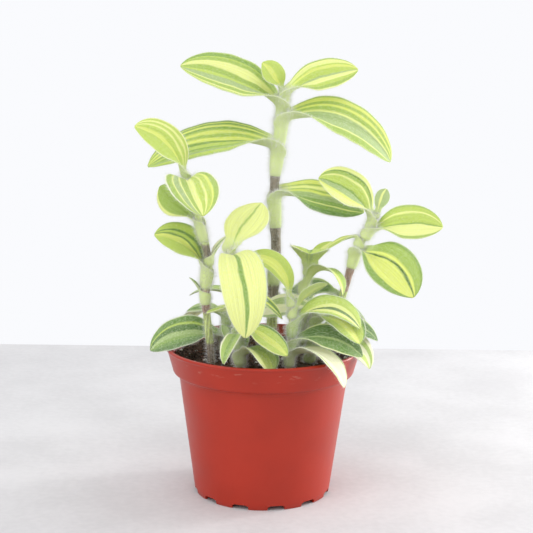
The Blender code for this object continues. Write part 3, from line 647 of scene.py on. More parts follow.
@dataclass(frozen=True)
class StemFinish:
    """A stem's skin: streaked and speckled, in bands that change at its nodes."""

    name: str
    lengths: str
    foot: float = 0.05
    top: float = 0.22
    edge: float = 0.008
    speck_tone: Colour = (0.74, 0.74, 0.60)

    def bands(self) -> list[tuple[float, Colour]]:
        """The lengths as places from 0 to 1 between foot and top, each with its colour."""
        words = self.lengths.split()
        reach = self.top - self.foot
        pairs = zip(words[::2], words[1::2])
        return [((float(end) - self.foot) / reach, Bark[tone.upper()].value) for tone, end in pairs]

    def material(self) -> bpy.types.Material:
        """Builds the material."""
        material, wiring, shader = fresh_material(self.name)
        place = wiring.node("ShaderNodeTexCoord").outputs["Object"]
        height = wiring.node("ShaderNodeSeparateXYZ", {0: place}).outputs[2]
        share = wiring.node("ShaderNodeMapRange", {"Value": height, "From Min": self.foot,
                                                   "From Max": self.top}).outputs["Result"]
        colour = banded(wiring, share, self.bands(), self.edge)
        drawn = wiring.node("ShaderNodeMapping", {"Vector": place, "Scale": (1.0, 1.0, 0.12)}).outputs[0]
        streaks = wiring.noise(drawn, 1500.0, 3.0)
        shade = wiring.between(streaks, 0.35, 0.65, 0.52, 1.10)
        grey = wiring.node("ShaderNodeCombineColor", {0: shade, 1: shade, 2: shade}).outputs[0]
        colour = wiring.mixed(1.0, colour, grey, "MULTIPLY")
        specks = wiring.noise(place, 2200.0, 2.0)
        colour = wiring.mixed(wiring.between(specks, 0.58, 0.72, 0.0, 0.45), colour, self.speck_tone)
        wiring.tree.links.new(colour, shader.inputs["Base Color"])
        bump = wiring.node("ShaderNodeBump", {"Strength": 0.4, "Distance": 0.0002, "Height": streaks})
        wiring.tree.links.new(bump.outputs[0], shader.inputs["Normal"])
        set_shader(shader, Roughness=0.6, Specular_IOR_Level=0.3)
        return material


@dataclass(frozen=True)
class HairFinish:
    """The white hairs."""

    name: str = "white_hair"
    tone: Colour = (0.96, 0.98, 0.92)

    def material(self) -> bpy.types.Material:
        """Builds the material."""
        material, _, shader = fresh_material(self.name)
        set_shader(shader, Base_Color=(*self.tone, 1.0), Roughness=0.5, Sheen_Weight=0.2,
                   Subsurface_Weight=0.0)
        return material


@dataclass(frozen=True)
class PotFinish:
    """Thin moulded plastic in terracotta red, with faint flow lines and a little dust at the rim."""

    name: str = "red_plastic"
    tone: Colour = (0.415, 0.025, 0.008)
    dust_tone: Colour = (0.62, 0.33, 0.25)

    def material(self) -> bpy.types.Material:
        """Builds the material."""
        material, wiring, shader = fresh_material(self.name)
        place = wiring.node("ShaderNodeTexCoord").outputs["Object"]
        height = wiring.node("ShaderNodeSeparateXYZ", {0: place}).outputs[2]
        cloud = wiring.noise(place, 45.0, 3.0)
        shade = wiring.mixed(wiring.between(cloud, 0.3, 0.7), tuple(0.90 * c for c in self.tone), self.tone)
        flat = wiring.node("ShaderNodeMapping", {"Vector": place, "Scale": (1.0, 1.0, 3.0)}).outputs[0]
        patch = wiring.between(wiring.noise(flat, 150.0, 4.0), 0.60, 0.72)
        near_rim = wiring.between(height, 0.070, 0.077)
        dust = wiring.maths("MULTIPLY", wiring.maths("MULTIPLY", patch, near_rim), 0.30)
        wiring.tree.links.new(wiring.mixed(dust, shade, self.dust_tone), shader.inputs["Base Color"])
        flow = wiring.node("ShaderNodeMapping", {"Vector": place, "Scale": (1.0, 1.0, 0.25)}).outputs[0]
        skin = wiring.noise(flow, 260.0, 2.0)
        bump = wiring.node("ShaderNodeBump", {"Strength": 0.10, "Distance": 0.0003, "Height": skin})
        wiring.tree.links.new(bump.outputs[0], shader.inputs["Normal"])
        rough = wiring.between(cloud, 0.3, 0.7, 0.34, 0.44)
        wiring.tree.links.new(rough, shader.inputs["Roughness"])
        set_shader(shader, Specular_IOR_Level=0.40)
        return material


@dataclass(frozen=True)
class GroundFinish:
    """Loose stuff in the pot: a dark and a light tone in grains."""

    name: str
    dark: Colour
    light: Colour
    grain: float = 900.0

    def material(self) -> bpy.types.Material:
        """Builds the material."""
        material, wiring, shader = fresh_material(self.name)
        place = wiring.node("ShaderNodeTexCoord").outputs["Object"]
        grains = wiring.noise(place, self.grain, 4.0)
        wiring.tree.links.new(wiring.mixed(wiring.between(grains, 0.35, 0.70), self.dark, self.light),
                              shader.inputs["Base Color"])
        bump = wiring.node("ShaderNodeBump", {"Strength": 0.7, "Distance": 0.0006, "Height": grains})
        wiring.tree.links.new(bump.outputs[0], shader.inputs["Normal"])
        set_shader(shader, Roughness=0.9)
        return material


@dataclass(frozen=True)
class Scatter:
    """A Geometry Nodes tree that covers a surface with copies of one small shape.

    Its inputs are the number of copies a square metre, their length and radius, how far they lean, the
    seed and the material. The surface's own attributes "cover" and "reach" scale the first two.
    """

    name: str
    grain: bool = False

    def tree(self) -> bpy.types.NodeTree:
        """Builds the tree."""
        tree = bpy.data.node_groups.new(self.name, "GeometryNodeTree")
        sockets = (("Surface", "Geometry"), ("Copies", "Float"), ("Length", "Float"), ("Radius", "Float"),
                   ("Lean", "Float"), ("Seed", "Int"), ("Material", "Material"))
        for name, kind in sockets:
            tree.interface.new_socket(name, in_out="INPUT", socket_type=f"NodeSocket{kind}")
        tree.interface.new_socket("Cover", in_out="OUTPUT", socket_type="NodeSocketGeometry")
        wiring = Wiring(tree)
        given = wiring.node("NodeGroupInput").outputs
        cover = self.read(wiring, "cover")
        points = wiring.node("GeometryNodeDistributePointsOnFaces",
                             {"Mesh": given["Surface"], "Density": wiring.maths("MULTIPLY", given["Copies"],
                                                                               cover),
                              "Seed": given["Seed"]}, distribute_method="RANDOM")
        lean = given["Lean"]
        back = wiring.maths("MULTIPLY", lean, -1.0)
        low = wiring.node("ShaderNodeCombineXYZ", {0: back, 1: back, 2: 0.0}).outputs[0]
        high = wiring.node("ShaderNodeCombineXYZ", {0: lean, 1: lean, 2: 2 * math.pi}).outputs[0]
        angles = wiring.node("FunctionNodeRandomValue", {0: low, 1: high, "Seed": given["Seed"]},
                             data_type="FLOAT_VECTOR").outputs[0]
        turn = wiring.node("FunctionNodeEulerToRotation", {0: angles}).outputs[0]
        turned = wiring.node("FunctionNodeRotateRotation", {0: points.outputs["Rotation"], 1: turn},
                             rotation_space="LOCAL").outputs[0]
        size = self.size(wiring, given)
        copies = wiring.node("GeometryNodeInstanceOnPoints",
                             {"Points": points.outputs["Points"], "Instance": self.shape(wiring),
                              "Rotation": turned, "Scale": size})
        real = wiring.node("GeometryNodeRealizeInstances", {0: copies.outputs[0]})
        dressed = wiring.node("GeometryNodeSetMaterial", {"Geometry": real.outputs[0],
                                                          "Material": given["Material"]})
        wiring.node("NodeGroupOutput", {0: dressed.outputs[0]})
        return tree

    def read(self, wiring: Wiring, name: str) -> bpy.types.NodeSocket:
        """One of the surface's attributes."""
        found = wiring.node("GeometryNodeInputNamedAttribute", {"Name": name}, data_type="FLOAT")
        return found.outputs["Attribute"]

    def shape(self, wiring: Wiring) -> bpy.types.NodeSocket:
        """The shape that is copied: a slim closed cone, or a rough grain."""
        if self.grain:
            return wiring.node("GeometryNodeMeshIcoSphere", {"Radius": 1.0, "Subdivisions": 1}).outputs[0]
        cone = wiring.node("GeometryNodeMeshCone",
                           {"Vertices": 3, "Side Segments": 1, "Fill Segments": 1, "Radius Top": 0.0,
                            "Radius Bottom": 1.0, "Depth": 1.0}, fill_type="NGON")
        return cone.outputs[0]

    def size(self, wiring: Wiring, given: Any) -> bpy.types.NodeSocket:
        """A copy's scale: a random share of the length and radius that are asked for."""
        seed = wiring.maths("ADD", given["Seed"], 5.0)
        chance = wiring.node("FunctionNodeRandomValue", {2: 0.55, 3: 1.15, "Seed": seed},
                             data_type="FLOAT").outputs[1]
        long = wiring.maths("MULTIPLY", wiring.maths("MULTIPLY", given["Length"], chance),
                            self.read(wiring, "reach"))
        if not self.grain:
            return wiring.node("ShaderNodeCombineXYZ",
                               {0: given["Radius"], 1: given["Radius"], 2: long}).outputs[0]
        ranges = {0: (0.6, 0.6, 0.5), 1: (1.3, 1.3, 1.0), "Seed": given["Seed"]}
        uneven = wiring.node("FunctionNodeRandomValue", ranges, data_type="FLOAT_VECTOR").outputs[0]
        return wiring.node("ShaderNodeVectorMath", {0: uneven, 3: long}, operation="SCALE").outputs[0]


def scattered(name: str, surface: bpy.types.Object, tree: bpy.types.NodeTree,
              **inputs: Any) -> bpy.types.Object:
    """A plain mesh of all the copies that a tree lays on a surface.

    Args:
        name: the new object's name.
        surface: the object that they grow from, which stays as it is.
        tree: the tree.
        inputs: its inputs by name.

    Returns:
        The new object.
    """
    obj = bpy.data.objects.new(name, surface.data)
    bpy.context.scene.collection.objects.link(obj)
    modifier = obj.modifiers.new("cover", "NODES")
    modifier.node_group = tree
    known = {item.name: item.identifier for item in tree.interface.items_tree if item.in_out == "INPUT"}
    for key, value in inputs.items():
        modifier[known[key]] = value
    graph = bpy.context.evaluated_depsgraph_get()
    mesh = bpy.data.meshes.new_from_object(obj.evaluated_get(graph))
    obj.modifiers.clear()
    obj.data = mesh
    mesh.name = name
    for spare in [a.name for a in mesh.attributes if a.name in ("cover", "reach", "under")]:
        mesh.attributes.remove(mesh.attributes[spare])
    return obj


def joined(name: str, parts: list[bpy.types.Object]) -> bpy.types.Object:
    """The parts as one object.

    Args:
        name: the name of the whole.
        parts: the objects, which are used up.

    Returns:
        The whole.
    """
    merged = bmesh.new()
    for part in parts:
        merged.from_mesh(part.data)
    mesh = bpy.data.meshes.new(name)
    merged.to_mesh(mesh)
    merged.free()
    mesh.materials.append(parts[0].data.materials[0])
    for part in parts:
        old = part.data
        bpy.data.objects.remove(part)
        bpy.data.meshes.remove(old)
    obj = bpy.data.objects.new(name, mesh)
    bpy.context.scene.collection.objects.link(obj)
    return obj


@dataclass(frozen=True)
class Blade:
    """One leaf's fine mesh: it keeps the plain solid's form and adds what the solid leaves out."""

    leaf: Leaf
    grown: Grown
    gap: float = 0.0003
    solid_thickness: float = 0.0007
    flare_share: float = 0.4
    snug: float = 0.0005
    closed_wrap: float = math.radians(172)
    bend: float = 0.008
    bend_share: float = 0.35
    bend_lag: float = 1.5
    unroll: float = 0.8
    base_fold: float = 0.9
    bank_reach: float = 0.35
    tip_half: float = 0.0007
    steps: int = 24
    across: int = 26
    sheath_rows: int = 5
    bend_rows: int = 9
    row_length: float = 0.0014
    rib_thickness: float = 0.0008
    edge_thickness: float = 0.00022
    ripple: float = 0.00016
    ripple_length: float = 0.011
    corrugation: float = 0.00008
    corrugations: float = 5.0

    def half_width(self, t: Array) -> Array:
        """Half the blade's width, laid flat, at a share of its length."""
        leaf = self.leaf
        low = 1.0 - (1.0 - leaf.neck) * ((leaf.broad - t) / leaf.broad) ** 2
        past = np.clip((t - leaf.broad) / (1.0 - leaf.broad), 0, 1)
        high = np.clip(1.0 - past ** 2.2, 0, 1) ** leaf.blunt
        return np.maximum(0.5 * leaf.width * np.where(t < leaf.broad, low, high), self.tip_half)

    def spine(self) -> dict[str, Array]:
        """The sections along bend and blade: where each is, how it lies and how it is folded."""
        leaf, grown = self.leaf, self.grown
        top = leaf.node + leaf.sheath
        tangent = grown.along(top)
        heading = math.radians(leaf.turn)
        out = np.array([math.cos(heading), math.sin(heading), 0.0])
        out = unit(out - tangent * np.dot(out, tangent))
        foot = grown.radius(leaf.node) + self.gap + 0.5 * self.solid_thickness
        hug = foot + self.flare_share * leaf.flare
        bend = min(self.bend, self.bend_share * leaf.length)
        past = np.linspace(0, leaf.length, 3 * self.steps)[1:]
        steps = np.concatenate([np.linspace(0, bend, self.steps), bend + past])
        t = np.clip((steps - bend) / leaf.length, 0, 1)
        pitch = np.radians(leaf.rise + (leaf.fall - leaf.rise) * t)
        yaw = np.radians(leaf.turn + leaf.sweep * t)
        blade = np.stack([np.cos(pitch) * np.cos(yaw), np.cos(pitch) * np.sin(yaw), np.sin(pitch)], axis=1)
        bent = smoothstep(steps / bend)[:, None] ** self.bend_lag
        along = unit(tangent * (1 - bent) + blade * bent)
        points = [grown.centre(top) + out * hug]
        for i in range(1, len(steps)):
            points.append(points[-1] + 0.5 * (along[i] + along[i - 1]) * (steps[i] - steps[i - 1]))
        normal = [-out]
        for i in range(1, len(steps)):
            normal.append(unit(normal[-1] - along[i] * np.dot(normal[-1], along[i])))
        bank = np.radians(leaf.bank) * smoothstep(steps / (bend + self.bank_reach * leaf.length))
        turned = np.array([turned_about(n, a, b) for n, a, b in zip(normal, along, bank)])
        opened = smoothstep(steps / (self.unroll * bend))
        closed = self.closed_wrap * (1 - opened)
        fold = np.radians(leaf.fold) * (1 + self.base_fold * (1 - t) ** 2) * opened
        curl = closed + np.radians(leaf.curl) * opened * smoothstep(0.3 + 1.4 * t)
        half = closed * hug + self.half_width(t) * opened
        return {"foot": np.array(foot), "out": out, "steps": steps, "bend": np.array(bend),
                "points": np.array(points), "along": along, "normal": turned, "fold": fold, "curl": curl,
                "half": half}

    @staticmethod
    def section(half: float, fold: float, curl: float, share: Array) -> tuple[Array, Array]:
        """Across and up, for shares of a half width: a fold at the midrib, then an even curve.

        Args:
            half: half the width, measured along the section.
            fold: the fold's angle in radians.
            curl: the angle that each half turns through in radians.
            share: the places, from -1 to 1.

        Returns:
            The distances across and up.
        """
        s = np.abs(share)
        turn = curl if abs(curl) > 1e-4 else 1e-4
        over = half / turn * (np.sin(fold + turn * s) - np.sin(fold))
        up = half / turn * (np.cos(fold) - np.cos(fold + turn * s))
        return np.sign(share) * over, up

    def grid(self) -> tuple[Array, Array]:
        """The middle surface's points, and the share of the leaf's length that each row lies at."""
        leaf, grown = self.leaf, self.grown
        spine = self.spine()
        foot, out, bend = float(spine["foot"]), spine["out"], float(spine["bend"])
        shares = np.sin(np.linspace(-0.5, 0.5, self.across + 1) * math.pi)
        shares = 0.5 * (shares + np.linspace(-1, 1, self.across + 1))
        rows: list[Array] = []
        places: list[float] = []
        for share in np.linspace(0, 1, self.sheath_rows + 1)[:-1]:
            z = leaf.node + leaf.sheath * share
            hug = foot + self.flare_share * leaf.flare * share - self.snug * (1 - share) ** 3
            tangent = grown.along(z)
            u = unit(out - tangent * np.dot(out, tangent))
            over, up = self.section(self.closed_wrap * hug, 0.0, self.closed_wrap, shares)
            side = np.cross(tangent, -u)
            rows.append(grown.centre(z) + u * hug + np.outer(over, side) + np.outer(up, -u))
            places.append(0.12 * share)
        blade_rows = max(8, int(leaf.length / self.row_length))
        reach = np.linspace(0, 1, blade_rows + 1)[1:] ** 0.9
        stations = np.concatenate([np.linspace(0, bend, self.bend_rows), bend + leaf.length * reach])
        for s in stations:
            p = np.array([np.interp(s, spine["steps"], spine["points"][:, i]) for i in range(3)])
            a = unit(np.array([np.interp(s, spine["steps"], spine["along"][:, i]) for i in range(3)]))
            n = np.array([np.interp(s, spine["steps"], spine["normal"][:, i]) for i in range(3)])
            n = unit(n - a * np.dot(n, a))
            fold, curl, half = (float(np.interp(s, spine["steps"], spine[k])) for k in
                                ("fold", "curl", "half"))
            over, up = self.section(half, fold, curl, shares)
            t = max(0.0, (s - bend) / leaf.length)
            up = up + self.relief(t, shares)
            rows.append(p + np.outer(over, np.cross(a, n)) + np.outer(up, n))
            places.append(0.12 + 0.08 * min(s / bend, 1.0) + 0.80 * t)
        return np.array(rows), np.array(places)

    def relief(self, t: float, shares: Array) -> Array:
        """How far the blade is lifted by its waved margin and its long ridges.

        Args:
            t: the share of the blade's length.
            shares: the places across it.

        Returns:
            The lifts.
        """
        leaf = self.leaf
        ease = float(smoothstep(5 * t) * smoothstep(5 * (1 - t)))
        wave = math.sin(2 * math.pi * t * leaf.length / self.ripple_length + 9 * leaf.width / leaf.length)
        size = min(1.0, leaf.width / 0.02)
        margin = self.ripple * size * wave * np.abs(shares) ** 3 * np.where(shares > 0, 1.0, -0.8)
        ridges = self.corrugation * size * np.cos(2 * math.pi * self.corrugations * shares)
        return ease * (margin + ridges)

    def build(self, finish: bpy.types.Material) -> bpy.types.Object:
        """Builds the leaf.

        Args:
            finish: its material.

        Returns:
            The leaf's object, with the attributes that its finish and its hairs read.
        """
        grid, places = self.grid()
        rows, cols = grid.shape[:2]
        normal = unit(np.cross(np.gradient(grid, axis=0), np.gradient(grid, axis=1)))
        share = np.linspace(-1, 1, cols)
        thick = self.edge_thickness + (self.rib_thickness - self.edge_thickness) * (1 - np.abs(share)) ** 0.8
        thin = 1 - 0.5 * smoothstep((places - 0.2) / 0.8)
        half = 0.5 * thick[None, :, None] * thin[:, None, None]
        lower, upper = grid + normal * half, grid - normal * half
        points = np.vstack([lower.reshape(-1, 3), upper.reshape(-1, 3)])
        under = rows * cols
        i, j = np.meshgrid(np.arange(rows - 1), np.arange(cols - 1), indexing="ij")
        a = (i * cols + j).ravel()
        quads = np.stack([a, a + cols, a + cols + 1, a + 1], axis=1)
        faces = [tuple(q) for q in quads] + [tuple(q[::-1] + under) for q in quads]
        rim = list(range(cols))
        rim += [k * cols + cols - 1 for k in range(1, rows)]
        rim += [(rows - 1) * cols + k for k in range(cols - 2, -1, -1)]
        rim += [k * cols for k in range(rows - 2, 0, -1)]
        for p, q in zip(rim, rim[1:] + rim[:1]):
            faces.append((p, q, q + under, p + under))
        obj = new_mesh_object(self.leaf.name.replace("leaf_", "blade_"), points, faces)
        u = np.tile(np.tile((share + 1) / 2, rows), 2)
        v = np.tile(np.repeat(places, cols), 2)
        self.lay_uv(obj, u, v)
        point_attribute(obj, "under", np.repeat([1.0, 0.0], under))
        self.lay_hair(obj, u, v)
        obj.data.materials.append(finish)
        return obj

    @staticmethod
    def lay_uv(obj: bpy.types.Object, u: Array, v: Array) -> None:
        """Gives each vertex its place across and along the leaf."""
        corners = np.zeros(len(obj.data.loops), np.int32)
        obj.data.loops.foreach_get("vertex_index", corners)
        layer = obj.data.uv_layers.new(name="leaf")
        layer.uv.foreach_set("vector", np.stack([u[corners], v[corners]], axis=1).ravel().astype(np.float32))

    @staticmethod
    def lay_hair(obj: bpy.types.Object, u: Array, v: Array) -> None:
        """Says where hairs are dense and long: at the margins and on the sheath."""
        edge = smoothstep((np.abs(2 * u - 1) - 0.88) / 0.12)
        sheath = 1 - smoothstep((v - 0.14) / 0.10)
        point_attribute(obj, "cover", 0.22 + 4.8 * edge + 2.6 * sheath)
        point_attribute(obj, "reach", 0.75 + 0.75 * edge + 1.4 * sheath)


@dataclass(frozen=True)
class Shoot:
    """One stem with all its leaves, and the hairs that cover them."""

    stem: Stem
    leaves: tuple[Leaf, ...]
    sides: int = 18
    ring_gap: float = 0.0011
    swell: float = 0.16
    swell_reach: float = 0.0018
    hairs: float = 1.45e6
    hair_length: float = 0.0013
    hair_radius: float = 0.000040
    hair_lean: float = 0.55
    velvet: float = 0.11
    low_velvet: float = 0.17
    low_height: float = 0.098
    sheath_tone: Colour = (0.70, 0.81, 0.34)
    low_sheath_tone: Colour = (0.42, 0.55, 0.20)
    stem_hairs: float = 2.4e6

    def build(self, hair: bpy.types.Material, tree: bpy.types.NodeTree) -> None:
        """Builds the stem, its leaves and their hairs.

        Args:
            hair: the hairs' material.
            tree: the tree that lays hairs on a surface.
        """
        grown = Grown(self.stem)
        skin = StemFinish(self.stem.name + "_skin", SKINS[self.stem.name]).material()
        stem = self.build_stem(grown, skin)
        settle(stem, self.stem.slot, self.stem.name)
        tufts = [self.hairs_on(stem, hair, tree, 0, self.stem_hairs, 1.0)]
        for number, leaf in enumerate(self.leaves):
            low = leaf.node < self.low_height
            finish = LeafFinish(leaf.name + "_stripes", STRIPES[leaf.name], LEAVES.index(leaf),
                                self.low_velvet if low else self.velvet,
                                self.low_sheath_tone if low else self.sheath_tone)
            blade = Blade(leaf, grown).build(finish.material())
            settle(blade, leaf.slot, leaf.name)
            small = min(1.0, 0.45 + 25 * leaf.length)
            tufts.append(self.hairs_on(blade, hair, tree, number + 1, self.hairs, small))
        coat = joined(self.stem.name.replace("stem_", "hairs_"), tufts)
        settle(coat, Slot.LEAF_CREAM)

    def build_stem(self, grown: Grown, finish: bpy.types.Material) -> bpy.types.Object:
        """The stem's own mesh, swollen at each node and rounded off at its top.

        Args:
            grown: the stem's centre line.
            finish: its material.

        Returns:
            The stem's object.
        """
        nodes = np.array([leaf.node for leaf in self.leaves])
        heights = np.arange(grown.low, grown.high, self.ring_gap)
        rings = []
        for z in [*heights, grown.high]:
            near = np.exp(-(((z - nodes + 0.0012) / self.swell_reach) ** 2)).max() if z > 0.07 else 0.0
            rings.append(self.ring(grown, z, grown.radius(z) * (1 + self.swell * near)))
        for lift, share in ((0.0005, 0.9), (0.0009, 0.65)):
            ring = self.ring(grown, grown.high, grown.radius(grown.high) * share)
            rings.append(ring + grown.along(grown.high) * lift)
        count = len(rings)
        ends = np.array([rings[0].mean(0), rings[-1].mean(0) + grown.along(grown.high) * 0.0001])
        points = np.vstack([np.vstack(rings), ends])
        obj = new_mesh_object(self.stem.name.replace("stem_", "shoot_"), points,
                              ring_faces(count, self.sides))
        seen = points[:, 2] > 0.074
        point_attribute(obj, "cover", seen.astype(float))
        point_attribute(obj, "reach", np.full(len(points), 2.0))
        obj.data.materials.append(finish)
        return obj

    def ring(self, grown: Grown, z: float, radius: float) -> Array:
        """A ring of points round the stem at a height."""
        along = grown.along(z)
        over = unit(np.cross(along, (0.0, 1.0, 0.001)))
        other = np.cross(along, over)
        angles = 2 * np.pi * np.arange(self.sides) / self.sides
        return grown.centre(z) + radius * (np.outer(np.cos(angles), over) + np.outer(np.sin(angles), other))

    def hairs_on(self, surface: bpy.types.Object, hair: bpy.types.Material, tree: bpy.types.NodeTree,
                 number: int, density: float, size: float) -> bpy.types.Object:
        """The hairs on one surface.

        Args:
            surface: the stem or leaf.
            hair: their material.
            tree: the tree that lays them.
            number: the surface's number, for the seed.
            density: hairs a square metre.
            size: a share of the full length.

        Returns:
            The hairs' object.
        """
        seed = 11 * number + STEMS.index(self.stem)
        return scattered(f"tuft_{number}", surface, tree, Copies=density, Length=self.hair_length * size,
                         Radius=self.hair_radius, Lean=self.hair_lean, Seed=seed, Material=hair)


@dataclass(frozen=True)
class Pot:
    """The moulded pot: a turned wall with a deep rim band, notched round its foot and drilled for water."""

    height: float = 0.080
    rim_radius: float = 0.0525
    band_foot: float = 0.0672
    band_radius: float = 0.0487
    wall_top: float = 0.0638
    wall_top_radius: float = 0.0452
    foot_radius: float = 0.0365
    wall: float = 0.0012
    floor_underside: float = 0.0032
    floor: float = 0.0014
    foot_width: float = 0.0016
    sides: int = 192
    notches: int = 12
    notch_width: float = 0.0090
    notch_height: float = 0.0025
    notch_start: float = 12.0
    drains: int = 6
    drain_radius: float = 0.0019
    drain_circle: float = 0.0240
    drain_sides: int = 32

    def profile(self) -> list[tuple[float, float]]:
        """Radius and height round the section, from the floor's underside out and back over the floor."""
        slope = (self.wall_top_radius - self.foot_radius) / self.wall_top
        floor_top = self.floor_underside + self.floor
        foot_inner = self.foot_radius - self.foot_width
        rim = self.rim_radius
        top = self.height
        return [
            (foot_inner, self.floor_underside),
            (foot_inner - 0.0001, 0.0003),
            (foot_inner + 0.0002, 0.0),
            (self.foot_radius - 0.0004, 0.0),
            (self.foot_radius, 0.0004),
            (self.foot_radius + slope * 0.0035, 0.0035),
            (self.foot_radius + slope * 0.030, 0.030),
            (self.wall_top_radius, self.wall_top),
            (self.wall_top_radius + 0.0002, self.wall_top + 0.0009),
            (self.wall_top_radius + 0.0008, self.wall_top + 0.0015),
            (self.band_radius - 0.0014, self.band_foot - 0.0014),
            (self.band_radius - 0.0005, self.band_foot - 0.0008),
            (self.band_radius - 0.0001, self.band_foot - 0.0001),
            (self.band_radius + 0.0001, self.band_foot + 0.0008),
            (rim - 0.0010, top - 0.0024),
            (rim - 0.0006, top - 0.0016),
            (rim - 0.0001, top - 0.0012),
            (rim, top - 0.0008),
            (rim - 0.0002, top - 0.0002),
            (rim - 0.0006, top),
            (rim - self.wall - 0.0002, top),
            (rim - self.wall - 0.0005, top - 0.0003),
            (self.band_radius - self.wall, self.band_foot - 0.0006),
            (self.wall_top_radius - self.wall + 0.0002, self.wall_top - 0.0008),
            (self.foot_radius + slope * floor_top - self.wall, floor_top),
        ]

    def build(self, finish: bpy.types.Material) -> bpy.types.Object:
        """Builds the pot.

        Args:
            finish: its material.

        Returns:
            The pot's object.
        """
        angles = 2 * np.pi * np.arange(self.sides) / self.sides
        rings = [np.stack([r * np.cos(angles), r * np.sin(angles), np.full(self.sides, z)], axis=1)
                 for r, z in self.profile()]
        ends = np.array([[0, 0, self.floor_underside], [0, 0, self.floor_underside + self.floor]])
        points = np.vstack([*rings, ends])
        pot = new_mesh_object("pot_shell", points, ring_faces(len(rings), self.sides))
        pot.data.materials.append(finish)
        for cutter in [self.notch(i) for i in range(self.notches)]:
            self.cut(pot, cutter)
        for cutter in [self.drain(i) for i in range(self.drains)]:
            self.cut(pot, cutter)
        pot.data.shade_smooth()
        pot.data.set_sharp_from_angle(angle=math.radians(38))
        return pot

    def notch(self, number: int) -> bpy.types.Object:
        """A round-cornered block across the foot ring."""
        angle = math.radians(self.notch_start + number * 360.0 / self.notches)
        box = bmesh.new()
        bmesh.ops.create_cube(box, size=1.0)
        upright = [e for e in box.edges if abs(e.verts[0].co.x - e.verts[1].co.x) > 0.5
                   and min(v.co.z for v in e.verts) > 0]
        bmesh.ops.bevel(box, geom=upright, offset=0.12, segments=3, affect="EDGES")
        for v in box.verts:
            x = self.foot_radius + v.co.x * 0.006
            y = v.co.y * self.notch_width
            z = (v.co.z + 0.5) * (self.notch_height + 0.002) - 0.002
            v.co = (x * math.cos(angle) - y * math.sin(angle), x * math.sin(angle) + y * math.cos(angle), z)
        return self.cutter(box)

    def drain(self, number: int) -> bpy.types.Object:
        """A pin through the floor."""
        angle = 2 * math.pi * number / self.drains
        pin = bmesh.new()
        bmesh.ops.create_cone(pin, cap_ends=True, segments=self.drain_sides, radius1=self.drain_radius,
                              radius2=self.drain_radius, depth=2 * self.floor_underside)
        x, y = self.drain_circle * math.cos(angle), self.drain_circle * math.sin(angle)
        bmesh.ops.translate(pin, verts=pin.verts, vec=(x, y, self.floor_underside))
        return self.cutter(pin)

    @staticmethod
    def cutter(shape: bmesh.types.BMesh) -> bpy.types.Object:
        """A hidden object that only cuts, moved as every piece is."""
        bmesh.ops.translate(shape, verts=shape.verts, vec=(-FOOTPRINT[0], -FOOTPRINT[1], 0.0))
        mesh = bpy.data.meshes.new("cutter")
        shape.to_mesh(mesh)
        shape.free()
        obj = bpy.data.objects.new("cutter", mesh)
        bpy.context.scene.collection.objects.link(obj)
        obj.hide_render = True
        return obj

    @staticmethod
    def cut(target: bpy.types.Object, cutter: bpy.types.Object) -> None:
        """Takes the cutter's shape out of the target, for good."""
        boolean = target.modifiers.new("cut", "BOOLEAN")
        boolean.operation = "DIFFERENCE"
        boolean.object = cutter
        graph = bpy.context.evaluated_depsgraph_get()
        mesh = bpy.data.meshes.new_from_object(target.evaluated_get(graph))
        target.modifiers.remove(boolean)
        target.data = mesh
        bpy.data.objects.remove(cutter)


